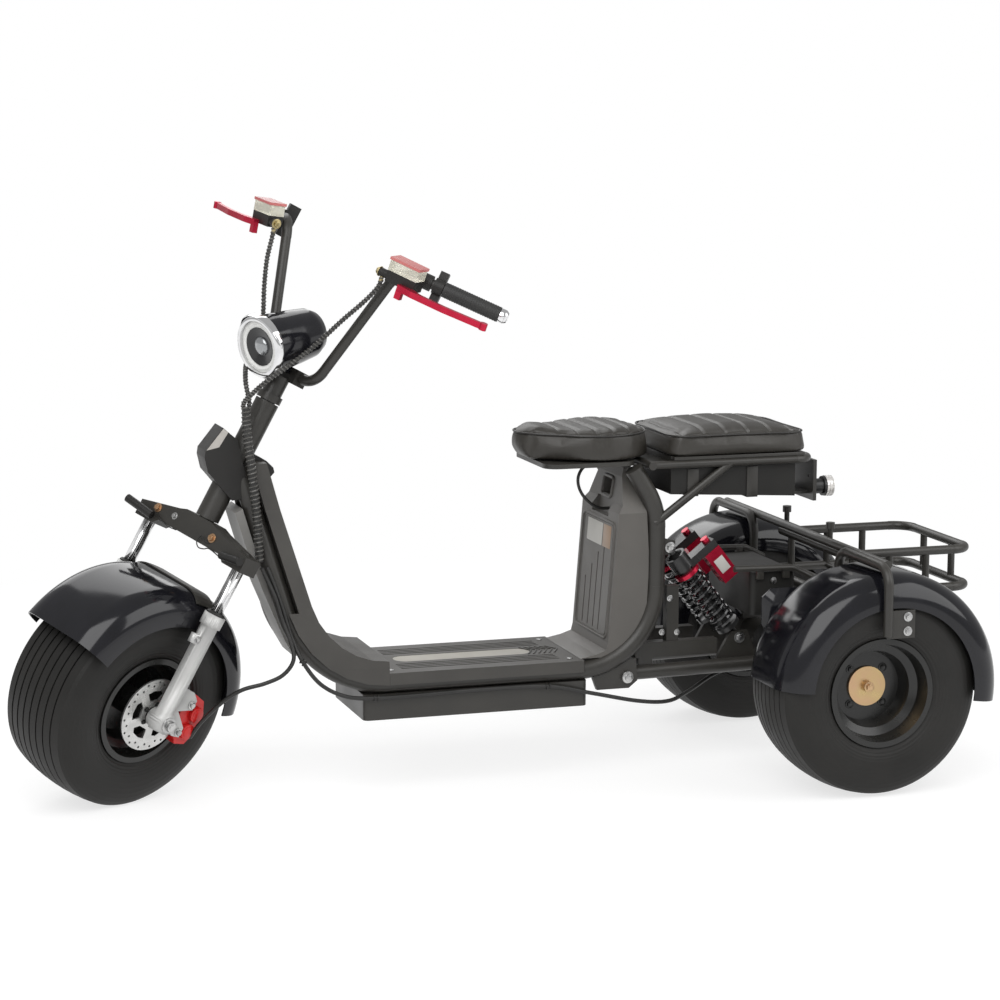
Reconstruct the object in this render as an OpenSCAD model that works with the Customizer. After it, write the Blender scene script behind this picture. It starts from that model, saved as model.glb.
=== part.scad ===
// Three-wheeled electric scooter with a step-through tube frame, two seats,
// wide balloon tyres, twin rear coil-over shocks and a rear luggage basket.
// Millimetres, +X forward, +Y rider's left, +Z up. It stands on z = 0 with the
// steering resting on its left stop, as it parks.

/* [Chassis] */
// rear axle to front wheel centre
wheelbase = 1555; // [1500:5:1650]
// distance between the rear wheels' middle planes
track = 724; // [710:2:760]
// angle of the steering axis from upright
rake = 28.5; // [26:0.5:31]
// how far the bars are turned left at rest
steer_rest = 32; // [26:1:34]
// main frame tube radius
tube_r = 20; // [17:1:21]
// half distance between the two main tubes along the floor
tube_y = 108; // [100:1:114]
// height of the main tubes along the floor
floor_z = 242; // [236:1:256]

/* [Wheels] */
// tyre outside radius
tyre_r = 229; // [222:1:231]
// tyre half width at the bulge
tyre_half = 106; // [100:1:107]
// rim edge radius
rim_r = 118; // [112:1:121]
// tread grooves round each tyre
groove_n = 7; // [5:2:9]
// tread groove width
groove_w = 4; // [3:0.5:5]
// tread groove depth
groove_d = 6; // [3:0.5:7]
// front brake disc radius
disc_r = 80; // [76:1:82]

/* [Fork] */
// half distance between the fork legs
leg_v = 145; // [143:1:150]
// fork leg radius
leg_r = 19; // [17:1:20]
// chromed fork tube radius
stanchion_r = 13.5; // [12:0.5:15]
// top of the lower leg above the wheel centre, along the fork
seal_z = 247; // [235:1:255]
// underside of the fork clamp above the wheel centre, along the fork
clamp_z = 350; // [345:1:356]
// head tube outside radius
head_r = 26; // [25:0.5:28]

/* [Bars] */
// height of the bar clamp above the wheel centre, along the fork
bar_z = 766; // [760:1:770]
// handlebar tube radius
bar_r = 11; // [10:0.5:12]
// rise of the handlebar from its clamp to the grips
bar_rise = 294; // [284:2:304]
// grip radius
grip_r = 16; // [14.5:0.5:17]
// headlight bezel radius
lamp_r = 68; // [62:1:72]

/* [Seats] */
// height of the undersides of both seats
seat_z = 702; // [698:1:720]
// half width of the passenger seat
seat_half = 138; // [130:1:144]
// thickness of the passenger seat at its edge
seat_edge = 46; // [40:1:54]

/* [Rear] */
// rear fender crest radius
fender_r = 257; // [255:1:262]
// height of the fender hoops' top bars
hoop_z = 503; // [500:1:512]
// luggage basket half width
basket_y = 166; // [150:1:175]
// top rail height of the basket
basket_z = 475; // [465:1:480]
// rack tube radius
rack_r = 10; // [8:0.5:11]

/* [Hidden] */
$fn = 48;
half_track = track / 2;
fit = 0.3;
bend_lap = 3;
bend_proud = 0.4;
rear_z = tyre_r;

// tyre section as [across, radius] points, bead to bead over the tread
bulge_a = 76;
bulge_h = 57;
bulge_r = (rim_r + tyre_r) / 2 - 7;
side_steps = 10;
tread_a = bulge_a + (tyre_half - bulge_a) * cos(72);
shoulder_r = bulge_r + bulge_h * sin(72);
groove_pitch = 2 * tread_a / (groove_n + 1);
function tread_at(a) = tyre_r - (tyre_r - shoulder_r) * pow(a / tread_a, 2);
function side_point(t) = [
    bulge_a + (tyre_half - bulge_a) * cos(t),
    bulge_r + bulge_h * sin(t)
];
bead_t = -asin(min(0.98, (bulge_r - rim_r - fit) / bulge_h));
side_right = [for (i = [0 : side_steps])
    side_point(bead_t + (72 - bead_t) * i / side_steps)];
tread_points = [for (g = [groove_n - 1 : -1 : 0])
    let (a = (g - (groove_n - 1) / 2) * groove_pitch)
    for (k = [[1, 0], [0.6, groove_d], [-0.6, groove_d], [-1, 0]])
        [a + k[0] * groove_w / 2, tread_at(a) - k[1]]];
side_left = [for (i = [side_steps : -1 : 0]) [-side_right[i][0], side_right[i][1]]];
tyre_section = concat(side_right, tread_points, side_left);

// the front wheel leans as it is steered, so its centre height follows
spin_x = sin(steer_rest) * cos(rake);
spin_z = sin(steer_rest) * sin(rake);
function reach(k) = max([for (p = tyre_section) abs(p[0]) * k + p[1] * sqrt(1 - k * k)]);
front_z = reach(spin_z);
basket_rear = -352;
x_mid = (wheelbase + reach(spin_x) + basket_rear - rack_r) / 2;

// a point on the steering axis, given by its distance above the wheel centre
function on_axis(z) = [wheelbase - z * sin(rake), 0, front_z + z * cos(rake)];
head_low = 414;
head_top = 692;

function unit(v) = v / norm(v);

// moves a fork-frame shape to its place: x forward, y left, z up the fork
module head_frame() {
    translate([wheelbase, 0, front_z])
        rotate([0, -rake, 0])
            children();
}

module fork_frame() {
    head_frame()
        rotate([0, 0, steer_rest])
            children();
}

module both_sides() {
    children();
    mirror([0, 1, 0])
        children();
}

// round rod between two points
module rod(p, q, r) {
    d = q - p;
    translate(p)
        rotate([0, acos(d[2] / norm(d)), atan2(d[1], d[0])])
            cylinder(h = norm(d), r = r);
}

// quarter-style elbow at b, tangent to a-b and b-c
module elbow(a, b, c, br, r) {
    u = unit(b - a);
    w = unit(c - b);
    turn = acos(u * w);
    start = b - u * br * tan(turn / 2);
    m = unit(w - u * (u * w));
    n = cross(u, m);
    o = start + m * br;
    multmatrix([
        [-m[0], u[0], n[0], o[0]],
        [-m[1], u[1], n[1], o[1]],
        [-m[2], u[2], n[2], o[2]],
        [0, 0, 0, 1]])
        rotate_extrude(angle = turn)
            translate([br, 0])
                circle(r = r);
}

function trim_len(a, b, c, br) = br * tan(acos(unit(b - a) * unit(c - b)) / 2);

// bent tube through points, with one bend radius for each inner point; the
// bends stand a hair proud of the straights, which run a little into them
module pipe(pts, bends, r) {
    last = len(pts) - 1;
    for (i = [0 : last - 1]) {
        u = unit(pts[i + 1] - pts[i]);
        head = i == 0 ? 0 : trim_len(pts[i - 1], pts[i], pts[i + 1], bends[i - 1]) - bend_lap;
        tail = i == last - 1 ? 0 : trim_len(pts[i], pts[i + 1], pts[i + 2], bends[i]) - bend_lap;
        rod(pts[i] + u * head, pts[i + 1] - u * tail, r);
    }
    for (i = [1 : 1 : last - 1])
        elbow(pts[i - 1], pts[i], pts[i + 1], bends[i - 1], r + bend_proud);
}

// ring of revolution about Y from a closed [across, radius] section
module wheel_ring(section) {
    rotate([-90, 0, 0])
        rotate_extrude()
            polygon([for (p = section) [p[1], p[0]]]);
}

// part of a ring about Y, between two angles measured up from forward
module arc_ring(section, from, to) {
    rotate([90, 0, 0])
        rotate([0, 0, from])
            rotate_extrude(angle = to - from)
                polygon([for (p = section) [p[1], -p[0]]]);
}

// slab with an outline drawn in X and Z, between two Y planes
module side_slab(y0, y1, outline) {
    translate([0, y1, 0])
        rotate([90, 0, 0])
            linear_extrude(height = y1 - y0)
                polygon(outline);
}

module box(x0, x1, y0, y1, z0, z1) {
    translate([x0, y0, z0])
        cube([x1 - x0, y1 - y0, z1 - z0]);
}

// cylinder across Y
module pin(x, z, y0, y1, r) {
    translate([x, y1, z])
        rotate([90, 0, 0])
            cylinder(h = y1 - y0, r = r);
}

// rounded block: plan outline with round corners
module round_block(x0, x1, half, z0, z1, r) {
    translate([0, 0, z0])
        linear_extrude(height = z1 - z0)
            union() {
                translate([x0 + r, -half])
                    square([x1 - x0 - 2 * r, 2 * half]);
                translate([x0, -half + r])
                    square([x1 - x0, 2 * half - 2 * r]);
                for (x = [x0 + r, x1 - r], y = [-half + r, half - r])
                    translate([x, y])
                        circle(r = r);
            }
}

// main tube, left side
neck = on_axis(535);
foot_x = 1163;
rear_x = 384;
tube_path = [
    [neck[0] - 8, 16, neck[2]],
    [foot_x, tube_y, floor_z],
    [rear_x, tube_y, floor_z],
    [rear_x, tube_y, 592],
    [438, tube_y, seat_z - 21]
];
tube_bends = [220, 180, 150];

// welded frame: head tube, two bent tubes, cross tubes, pivot and shock plates
pivot = [452, 222];
shock_top = [338, 497];
module main_frame() {
    color([0.05, 0.05, 0.055])
        difference() {
            union() {
                head_frame()
                    translate([0, 0, head_low])
                        cylinder(h = head_top - head_low, r = head_r);
                both_sides() {
                    pipe(tube_path, tube_bends, tube_r);
                    side_slab(tube_y - 6, tube_y + 6,
                        [[430, 262], [540, 250], [520, 196], [446, 196], [426, 212]]);
                    side_slab(shock_y + 9.3, shock_y + 19,
                        [[392, 530], [392, 474], [342, 482], [326, 490], [326, 512], [346, 516]]);
                }
                for (x = [1000, 620])
                    pin(x, floor_z, -tube_y, tube_y, 14);
                pin(rear_x, 500, -tube_y, tube_y, 16);
                seat_plate();
            }
            head_frame()
                translate([0, 0, head_low - 1])
                    cylinder(h = head_top - head_low + 2, r = stem_r + fit);
            for (s = [-1, 1])
                pin(pivot[0], pivot[1], s * tube_y - 8, s * tube_y + 8, 8);
        }
}

// plate between the tube ends that carries the driver's seat
module seat_plate() {
    round_block(430, 640, tube_y + 8, seat_z - 14, seat_z - 4, 30);
}

// tray over the floor tubes, running up the rider's side of the down tubes
board_z = floor_z + tube_r + 0.5;
board_half = tube_y + 26;
down = unit([tube_path[1][0] - tube_path[0][0], tube_path[1][2] - tube_path[0][2]]);
bend_r = tube_bends[0];
bend_back = bend_r * tan((90 - atan2(-down[0], -down[1])) / 2);
bend_o = [foot_x - bend_back, floor_z + bend_r];
// points of the tray's side outline, a distance inside the tube's middle line
function climb(d) = concat(
    [for (i = [0 : 6])
        let (a = -90 + i * (90 - atan2(-down[0], -down[1])) / 6)
        bend_o + (bend_r - d) * [cos(a), sin(a)]],
    [bend_o + (bend_r - d) * [-down[1], down[0]] - down * climb_len]);
climb_len = 328;
panel_d = tube_r + 32;
function reversed(p) = [for (i = [len(p) - 1 : -1 : 0]) p[i]];
module footboard() {
    color([0.06, 0.06, 0.06])
        difference() {
            union() {
                round_block(556, bend_o[0] + 1, board_half, board_z - 20, board_z + 6, 3);
                intersection() {
                    side_slab(-board_half, board_half, concat(climb(0), reversed(climb(panel_d))));
                    translate([900, 0, 0])
                        rotate([90, 0, 90])
                            linear_extrude(height = 500)
                                polygon([[-board_half, board_z - 30], [board_half, board_z - 30],
                                    [board_half, board_z + 20], [62, 620], [62, 720], [-62, 720],
                                    [-62, 620], [-board_half, board_z + 20]]);
                }
            }
            both_sides()
                pipe(tube_path, tube_bends, tube_r + 1);
            head_frame()
                translate([0, 0, head_low])
                    cylinder(h = head_top - head_low, r = head_r + 1);
            box(540, 1200, -tube_y, tube_y, board_z - 40, board_z);
            side_slab(-tube_y, tube_y, concat(climb(-60), reversed(climb(tube_r + 1))));
            round_block(640, 950, 30, board_z + 4, board_z + 12, 29);
            for (y = rib_y)
                both_sides()
                    round_block_at(y, 600, 960, 3, board_z + 3.5, board_z + 12);
        }
}

// grooves along the tray, between its raised ribs
rib_y = [52, 66, 80, 94];
module round_block_at(y, x0, x1, half, z0, z1) {
    translate([0, y, 0])
        round_block(x0, x1, half, z0, z1, half - 0.1);
}

// flat battery box slung under the floor
box_x = [546, 1050];
box_z = 166;
module underfloor_box() {
    color([0.045, 0.045, 0.045])
        round_block(box_x[0], box_x[1], 124, box_z, floor_z - tube_r - 0.5, 12);
}

// pale shield in front of the two down tubes
shield_front = [[1309, 616], [1288, 546], [1252, 448], [1205, 337], [1184, 300]];
module leg_shield() {
    color([0.55, 0.56, 0.57])
        difference() {
            side_slab(-54, 54, concat(shield_front,
                reversed([for (p = shield_front) p - [16, -8]])));
            both_sides()
                pipe(tube_path, tube_bends, tube_r + fit);
        }
}

// moulded battery cover between the rear uprights: slots, handle and plug port
cover_top = seat_z - 24;
cover_half = tube_y + 9;
slot_y = [-58, -24, 10, 44];
module front_slab(x0, x1, outline) {
    translate([x0, 0, 0])
        rotate([90, 0, 90])
            linear_extrude(height = x1 - x0)
                polygon(outline);
}
module battery_cover() {
    color([0.07, 0.07, 0.07])
        difference() {
            intersection() {
                side_slab(-cover_half, cover_half,
                    [[560, board_z + 6.5], [524, 276], [500, 284], [496, 300], [474, 584], [462, 600],
                     [452, 658], [446, cover_top], [424, cover_top], [410, 600], [404, 500], [404, 440],
                     [408, 370], [430, 312], [472, 278], [490, board_z + 6.5]]);
                front_slab(380, 570,
                    [[-cover_half, 200], [cover_half, 200], [cover_half, 584], [cover_half - 12, 606],
                     [72, 662], [60, 700], [-60, 700], [-72, 662], [12 - cover_half, 606],
                         [-cover_half, 584]]);
            }
            both_sides()
                pipe(tube_path, tube_bends, tube_r + fit);
            for (i = [0 : 3])
                translate([0, slot_y[i], 0])
                    side_slab(-2.5, 2.5, [[540, 316], [488, 316], [478, 420 + 32 * i],
                        [540, 420 + 32 * i]]);
            side_slab(-24, 24, [[490, 612], [440, 612], [436, 646], [490, 646]]);
            side_slab(-52, 52, [[500, 566], [462, 570], [456, 604], [500, 604]]);
        }
}

// driver's saddle: wide at the back, narrow nose
saddle_x = [372, 684];
saddle_r = 126;
nose_r = 58;
// where the straight edge leaves each round, half a millimetre inside it
saddle_turn = acos((saddle_r - nose_r) / (saddle_x[1] - nose_r - saddle_x[0] - saddle_r));
function saddle_edge(x, r, s) = [x, 0] + (r - 0.5) * [cos(saddle_turn), s * sin(saddle_turn)];
module driver_seat() {
    color([0.07, 0.06, 0.05])
        intersection() {
            translate([0, 0, seat_z - 20])
                union() {
                    translate([saddle_x[0] + saddle_r, 0, 0])
                        cylinder(h = 140, r = saddle_r);
                    linear_extrude(height = 140)
                        polygon([
                            saddle_edge(saddle_x[0] + saddle_r, saddle_r, 1),
                            saddle_edge(saddle_x[1] - nose_r, nose_r, 1),
                            saddle_edge(saddle_x[1] - nose_r, nose_r, -1),
                            saddle_edge(saddle_x[0] + saddle_r, saddle_r, -1)]);
                    translate([saddle_x[1] - nose_r, 0, 0])
                        cylinder(h = 140, r = nose_r);
                }
            side_slab(-150, 150,
                [[saddle_x[0] - 2, seat_z + 22], [saddle_x[0] + 6, seat_z - 3],
                    [saddle_x[1] - 30, seat_z - 3],
                 [saddle_x[1] - 4, seat_z + 12], [saddle_x[1] + 2, seat_z + 30],
                     [saddle_x[1] - 34, seat_z + 52],
                 [570, seat_z + 62], [460, seat_z + 68], [394, seat_z + 66],
                     [saddle_x[0] - 2, seat_z + 52]]);
        }
}

// passenger's square cushion
pass_x = [32, 364];
module passenger_seat() {
    color([0.07, 0.06, 0.05])
        intersection() {
            round_block(pass_x[0], pass_x[1], seat_half, seat_z, seat_z + 100, 34);
            side_slab(-150, 150,
                [[pass_x[0] - 5, seat_z + 2], [pass_x[1] + 5, seat_z + 2],
                 [pass_x[1] + 5, seat_z + seat_edge], [pass_x[1] - 30, seat_z + seat_edge + 14],
                 [200, seat_z + seat_edge + 20], [pass_x[0] + 30, seat_z + seat_edge + 14],
                 [pass_x[0] - 5, seat_z + seat_edge]]);
        }
}

// box under the passenger seat
module underseat_box() {
    color([0.04, 0.04, 0.04])
        difference() {
            side_slab(-116, 116,
                [[60, 606], [354, 622], [354, rail_z - rail_r - 0.5], [60, rail_z - rail_r - 0.5]]);
            both_sides()
                rod(strut[0], strut[1], rail_r + 1);
        }
}

// tube loop under the passenger seat with its two diagonal struts
rail_r = 9;
rail_y = 128;
rail_z = seat_z - rail_r - 4;
strut = [[218, rail_y, rail_z], [392, tube_y + 12, 560]];
module seat_rail() {
    color([0.05, 0.05, 0.055])
        difference() {
            union() {
                pipe([[404, -rail_y, rail_z], [24, -rail_y, rail_z], [24, rail_y, rail_z],
                    [404, rail_y, rail_z]], [40, 40], rail_r);
                pin(404, rail_z, -rail_y - rail_r, rail_y + rail_r, rail_r);
                both_sides()
                    rod(strut[0], strut[1], rail_r);
                box(30, 408, -100, 100, rail_z - 3, rail_z + 3);
            }
            both_sides()
                pipe(tube_path, tube_bends, tube_r + fit);
            round_block(425, 645, tube_y + 12, seat_z - 15, seat_z - 3, 30);
        }
}

// plate behind the passenger seat with a small round lamp
module tail_bracket() {
    color([0.05, 0.05, 0.05])
        difference() {
            union() {
                box(-4, 4, -90, 90, 588, rail_z - rail_r - 0.5);
                box(4, 59.5, -60, 60, 600, 606);
            }
            for (y = [-62.5, 62.5])
                translate([-10, y, 640])
                    rotate([0, 90, 0])
                        cylinder(h = 30, r = 3.25);
        }
}

module tail_lamp() {
    color([0.6, 0.05, 0.05])
        translate([-4.3, 50, 614])
            rotate([0, -90, 0]) {
                cylinder(h = 30, r = 17);
                translate([0, 0, 30])
                    cylinder(h = 22, r = 22);
            }
}

// trailing arms from the frame pivot to the axle housing
arm_y = tube_y - 24;
module swing_arm() {
    color([0.05, 0.05, 0.055])
        difference() {
            union() {
                both_sides() {
                    rod([pivot[0], arm_y, pivot[1]], [10, arm_y, rear_z], 16);
                    pin(pivot[0], pivot[1], arm_y - 10, tube_y - 6.5, 20);
                }
                pin(pivot[0], pivot[1], -arm_y, arm_y, 14);
                both_sides() {
                    box(226, 420, arm_y - 26, arm_y, 254, 288);
                    box(380, 412, arm_y - 26, arm_y, 226, 260);
                    box(318, 346, arm_y - 25, arm_y - 3, 282, 412);
                    side_slab(shock_y + 9.3, shock_y + 20, [[120, 222], [236, 222], [190, 300],
                        [150, 300]]);
                }
                box(386, 404, -arm_y, arm_y, 232, 254);
            }
            pin(0, rear_z, -300, 300, housing_r + fit);
            for (s = [-1, 1])
                pin(pivot[0], pivot[1], s * tube_y - 60, s * tube_y + 60, 7.7);
        }
}

module pivot_bolts() {
    color([0.7, 0.7, 0.72])
        both_sides() {
            pin(pivot[0], pivot[1], tube_y - 30, tube_y + 8, 7.5);
            pin(pivot[0], pivot[1], tube_y + 6.2, tube_y + 16, 13);
        }
}

// axle housing across the rear with its end flanges
housing_r = 30;
housing_y = half_track - 100;
module rear_axle() {
    color([0.06, 0.06, 0.06])
        difference() {
            union() {
                pin(0, rear_z, -housing_y, housing_y, housing_r);
                both_sides()
                    pin(0, rear_z, housing_y - 16, housing_y, 48);
            }
            for (s = [-1, 1])
                pin(0, rear_z, s * (housing_y - 20) - 30, s * (housing_y - 20) + 30, shaft_r + fit);
            pin(0, rear_z, -motor_half - 0.3, motor_half + 0.3, 60);
        }
}

// drive motor and gear casing, in the middle of the axle
motor_half = 60;
module drive_motor() {
    color([0.1, 0.1, 0.1])
        union() {
            pin(0, rear_z, -motor_half, motor_half, 78);
            pin(0, rear_z, -motor_half + 8, motor_half - 8, 84);
        }
}

// one coil-over: axis from the lower eye to the top eye, in its own frame, with the bridge
// from its head to the side reservoir
res_x = [-90, -50];
shock_low = [170, 285];
shock_y = arm_y - 27;
shock_len = norm([shock_top[0] - shock_low[0], shock_top[1] - shock_low[1]]);
shock_tilt = atan2(shock_top[0] - shock_low[0], shock_top[1] - shock_low[1]);
module on_shocks() {
    both_sides()
        translate([shock_low[0], shock_y, shock_low[1]])
            rotate([0, shock_tilt, 0])
                children();
}

module shock_bodies() {
    color([0.06, 0.06, 0.06])
        on_shocks() {
            union() {
                for (z = [0, shock_len])
                    translate([0, 9, z])
                        rotate([90, 0, 0])
                            cylinder(h = 18, r = 13);
                rotate_extrude()
                    polygon([[0, 8], [8.5, 8], [8.5, 30], [28, 30], [28, 40], [9, 40], [9, shock_len - 90],
                        [19, shock_len - 90], [19, shock_len - 30], [8.5, shock_len - 22],
                        [8.5, shock_len - 8], [0, shock_len - 8]]);
            }
            difference() {
                union() {
                    box(res_x[0], -12, -17, 17, shock_len - 72, shock_len - 54);
                    translate([0, 0, shock_len - 64.7])
                        cylinder(h = 36, r = 25);
                }
                translate([0, 0, shock_len - 100])
                    cylinder(h = 90, r = 19.3);
            }
        }
}

// coil wire swept as rings of eight around the helix
coil_r = 24;
wire_r = 3.8;
coil_turns = 8;
coil_steps = 112;
coil_z0 = 45;
coil_z1 = shock_len - 86.5;
wire_sides = 8;
function coil_ring(i) =
    let (a = 360 * coil_turns * i / coil_steps, z = coil_z0 + (coil_z1 - coil_z0) * i / coil_steps)
    [for (k = [0 : wire_sides - 1])
        let (b = 360 * k / wire_sides, rr = coil_r + wire_r * cos(b))
        [rr * cos(a), rr * sin(a), z + wire_r * sin(b)]];
coil_points = [for (i = [0 : coil_steps]) each coil_ring(i)];
coil_faces = concat(
    [for (i = [0 : coil_steps - 1], k = [0 : wire_sides - 1])
        let (n = (k + 1) % wire_sides)
        [i * wire_sides + k, i * wire_sides + n, (i + 1) * wire_sides + n, (i + 1) * wire_sides + k]],
    [[for (k = [wire_sides - 1 : -1 : 0]) k],
     [for (k = [0 : wire_sides - 1]) coil_steps * wire_sides + k]]);
module shock_springs() {
    color([0.08, 0.08, 0.08])
        on_shocks()
            polyhedron(points = coil_points, faces = coil_faces, convexity = 8);
}

// red preload collars and piggyback reservoirs
module shock_reservoirs() {
    color([0.75, 0.05, 0.08])
        on_shocks() {
            translate([0, 0, shock_len - 82])
                difference() {
                    cylinder(h = 9, r = 29);
                    translate([0, 0, -1])
                        cylinder(h = 11, r = 19.3);
                }
            box(res_x[0], res_x[1], -19, 19, shock_len - 152, shock_len - 72.3);
            translate([res_x[0] + 14, 0, shock_len - 53.7])
                cylinder(h = 10, r = 9);
        }
}

// rear fender section as [across, radius], outside then inside
fender_half = 115;
fender_t = 3;
fender_x = -22;
skirt_r = 187;
fender_side = 60;
function fender_out(half, r, t) = [for (i = [0 : 8])
    let (a = 90 * i / 8)
    [half - fender_side + (fender_side - t) * sin(a), r - fender_side + (fender_side - t) * cos(a)]];
function mirror_back(p) = [for (i = [len(p) - 1 : -1 : 0]) [-p[i][0], p[i][1]]];
function shell(half, r, edge) =
    let (o = fender_out(half, r, 0), n = fender_out(half, r, fender_t))
    concat([[-half, edge]], mirror_back(o), o, [[half, edge]],
        [[half - fender_t, edge]], [for (i = [len(n) - 1 : -1 : 0]) n[i]],
        mirror_back([for (i = [len(n) - 1 : -1 : 0]) n[i]]), [[-half + fender_t, edge]]);
module rear_fenders() {
    color([0.03, 0.03, 0.035])
        both_sides()
            translate([fender_x, half_track, rear_z])
                difference() {
                    union() {
                        arc_ring(shell(fender_half, fender_r, skirt_r), 4, 188);
                        side_slab(-fender_half - 4, 1 - fender_half,
                            [[34, 24], [130, 124], [132, 198], [190, 198], [212, 180], [212, 120],
                                [118, -20], [40, -40]]);
                    }
                    pin(-fender_x, 0, -fender_half - 20, -fender_half + 20, 49);
                }
}

// hoops over the fenders joined by cross bars
hoop_out = fender_half + rack_r + 0.5;
hoop_x = 5;
bar_x = hoop_x - 1.7 * rack_r;
module rear_rack() {
    color([0.05, 0.05, 0.055])
        union() {
            both_sides() {
                pipe([[hoop_x, half_track - hoop_out, 330], [hoop_x, half_track - hoop_out, hoop_z],
                      [hoop_x, half_track + hoop_out, hoop_z], [hoop_x, half_track + hoop_out, 359]],
                    [40, 40], rack_r);
                box(-60, 5, half_track + fender_half + 0.5, half_track + fender_half + 6, 352, 412);
                box(-16, 26, half_track - hoop_out - 4, half_track - hoop_out + 4, 262, 334);
                box(-30, 30, half_track - hoop_out - 4, half_track - hoop_out + 4,
                    rear_z + housing_r + 0.5, 278);
            }
            pin(bar_x, hoop_z, -half_track - hoop_out + 44, half_track + hoop_out - 44, rack_r);
            pin(hoop_x, low_rail, -half_track + hoop_out, half_track - hoop_out, rack_r);
        }
}

// tube basket behind the axle, with two hooks on its front rail
basket_front = -40;
low_rail = basket_z - 85;
post_x = [-60, -150, -240];
hook_y = [-150, 90];
module basket() {
    color([0.05, 0.05, 0.055])
        difference() {
            union() {
                pipe([[basket_front, -basket_y, basket_z], [basket_rear, -basket_y, basket_z],
                    [basket_rear, basket_y, basket_z], [basket_front, basket_y, basket_z]],
                    [45, 45], rack_r);
                pin(basket_front, basket_z, -basket_y - rack_r, basket_y + rack_r, rack_r);
                pipe([[hoop_x, -basket_y, low_rail], [basket_rear, -basket_y, low_rail],
                    [basket_rear, basket_y, low_rail], [hoop_x, basket_y, low_rail]],
                    [45, 45], rack_r);
                both_sides()
                    for (x = post_x)
                        rod([x, basket_y, low_rail], [x, basket_y, basket_z], 8);
                both_sides()
                    rod([basket_rear, 70, low_rail], [basket_rear, 70, basket_z], 8);
                for (x = post_x)
                    pin(x, low_rail, -basket_y, basket_y, 7);
                for (y = hook_y) {
                    rod([basket_front, y, basket_z], [basket_front, y, basket_z + 50], 6);
                    translate([basket_front, y, basket_z + 48])
                        cylinder(h = 14, r = 10);
                }
            }
            pin(hoop_x, low_rail, -300, 300, rack_r + fit);
        }
}

// plain black case between the hoops, over the axle, hung from two bars
case_half = 128;
case_bar = [[210, 452], [70, 448], [hoop_x + 18, 424]];
module rear_case() {
    color([0.05, 0.05, 0.05])
        round_block(58, 166, case_half, 344, 440, 14);
}

module case_bars() {
    color([0.05, 0.05, 0.055])
        both_sides()
            pipe([for (p = case_bar) [p[0], case_half + 8.3, p[1]]], [30], 7);
}

// covers either side of the head tube: horn pod in front, lock box behind
module head_covers() {
    color([0.05, 0.05, 0.05])
        head_frame()
            difference() {
                union() {
                    side_slab(-40, 40, [[69, 600], [80, 540], [75, 526], [54, 502], [34, 494],
                        [-20, 472], [-47, 492],
                        [-18, 536], [30, 591]]);
                    side_slab(-28, 28, [[-10, 580], [-50, 579], [-70, 573], [-77, 565], [-66, 521],
                        [-10, 530]]);
                }
                translate([0, 0, 400])
                    cylinder(h = 300, r = head_r + fit);
                head_frame_back()
                    both_sides()
                        pipe(tube_path, tube_bends, tube_r + fit);
                head_frame_back()
                    footboard();
            }
}

module head_frame_back() {
    rotate([0, rake, 0])
        translate([-wheelbase, 0, -front_z])
            children();
}

// fork clamp, steering stem and upper bracket, turning together
stem_r = 17;
module fork_clamp() {
    color([0.05, 0.05, 0.055])
        fork_frame()
            difference() {
                union() {
                    translate([-24, 0, 0])
                        rotate([90, 0, 90])
                            linear_extrude(height = 48)
                                polygon([[-leg_v - 27, clamp_z], [-leg_v - 27, clamp_z + 34],
                                    [-60, clamp_z + 56], [-40, head_low - 2], [40, head_low - 2],
                                    [60, clamp_z + 56], [leg_v + 27, clamp_z + 34], [leg_v + 27, clamp_z],
                                    [leg_v - 30, clamp_z], [leg_v - 44, clamp_z + 12],
                                    [-leg_v + 44, clamp_z + 12], [-leg_v + 30, clamp_z]]);
                    translate([0, 0, clamp_z + 20])
                        cylinder(h = head_top + 40 - clamp_z - 20, r = stem_r);
                    translate([0, 0, head_top + 2])
                        cylinder(h = 16, r = 27);
                    translate([0, 0, head_top + 17])
                        cylinder(h = bar_z - 14 - head_top - 17, r = 22);
                    box(bar_x0 - 18, bar_x0 + 20, -34, 34, bar_z - 18, bar_z + 14);
                }
                for (s = [-1, 1])
                    translate([0, s * leg_v, clamp_z - 1])
                        cylinder(h = 60, r = stanchion_r);
                pipe(bar_path, bar_bends, bar_r + 0.1);
            }
}

module fork_tubes() {
    color([0.85, 0.85, 0.87])
        fork_frame()
            both_sides()
                translate([0, leg_v, seal_z + fit])
                    cylinder(h = clamp_z + 30 - seal_z, r = stanchion_r - 0.05);
}

// cast lower legs with the axle between them
axle_r = 8;
module fork_lowers() {
    color([0.72, 0.73, 0.74])
        fork_frame() {
            union() {
                both_sides() {
                    translate([0, leg_v, -22])
                        cylinder(h = seal_z + 22, r = leg_r);
                    translate([0, leg_v, seal_z - 26])
                        cylinder(h = 26, r = leg_r + 4.5);
                    pin(0, 0, leg_v - 22, leg_v + 24, 22);
                    box(10, 34, leg_v - 6, leg_v + 6, 176, 196);
                }
                pin(0, 0, -leg_v, leg_v, axle_r);
                side_slab(leg_v - 16, leg_v - 4,
                    [[0, 8], [0, 86], [-60, 78], [-78, 64], [-78, 42], [-40, 30], [-78, 0],
                        [-78, -22], [-56, -24]]);
            }
        }
}

// front fender shell over the wheel
front_fender_r = 270;
front_fender_half = 121;
module front_fender() {
    color([0.03, 0.03, 0.035])
        fork_frame()
            arc_ring(shell(front_fender_half, front_fender_r, 200), 18, 166);
}

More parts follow.
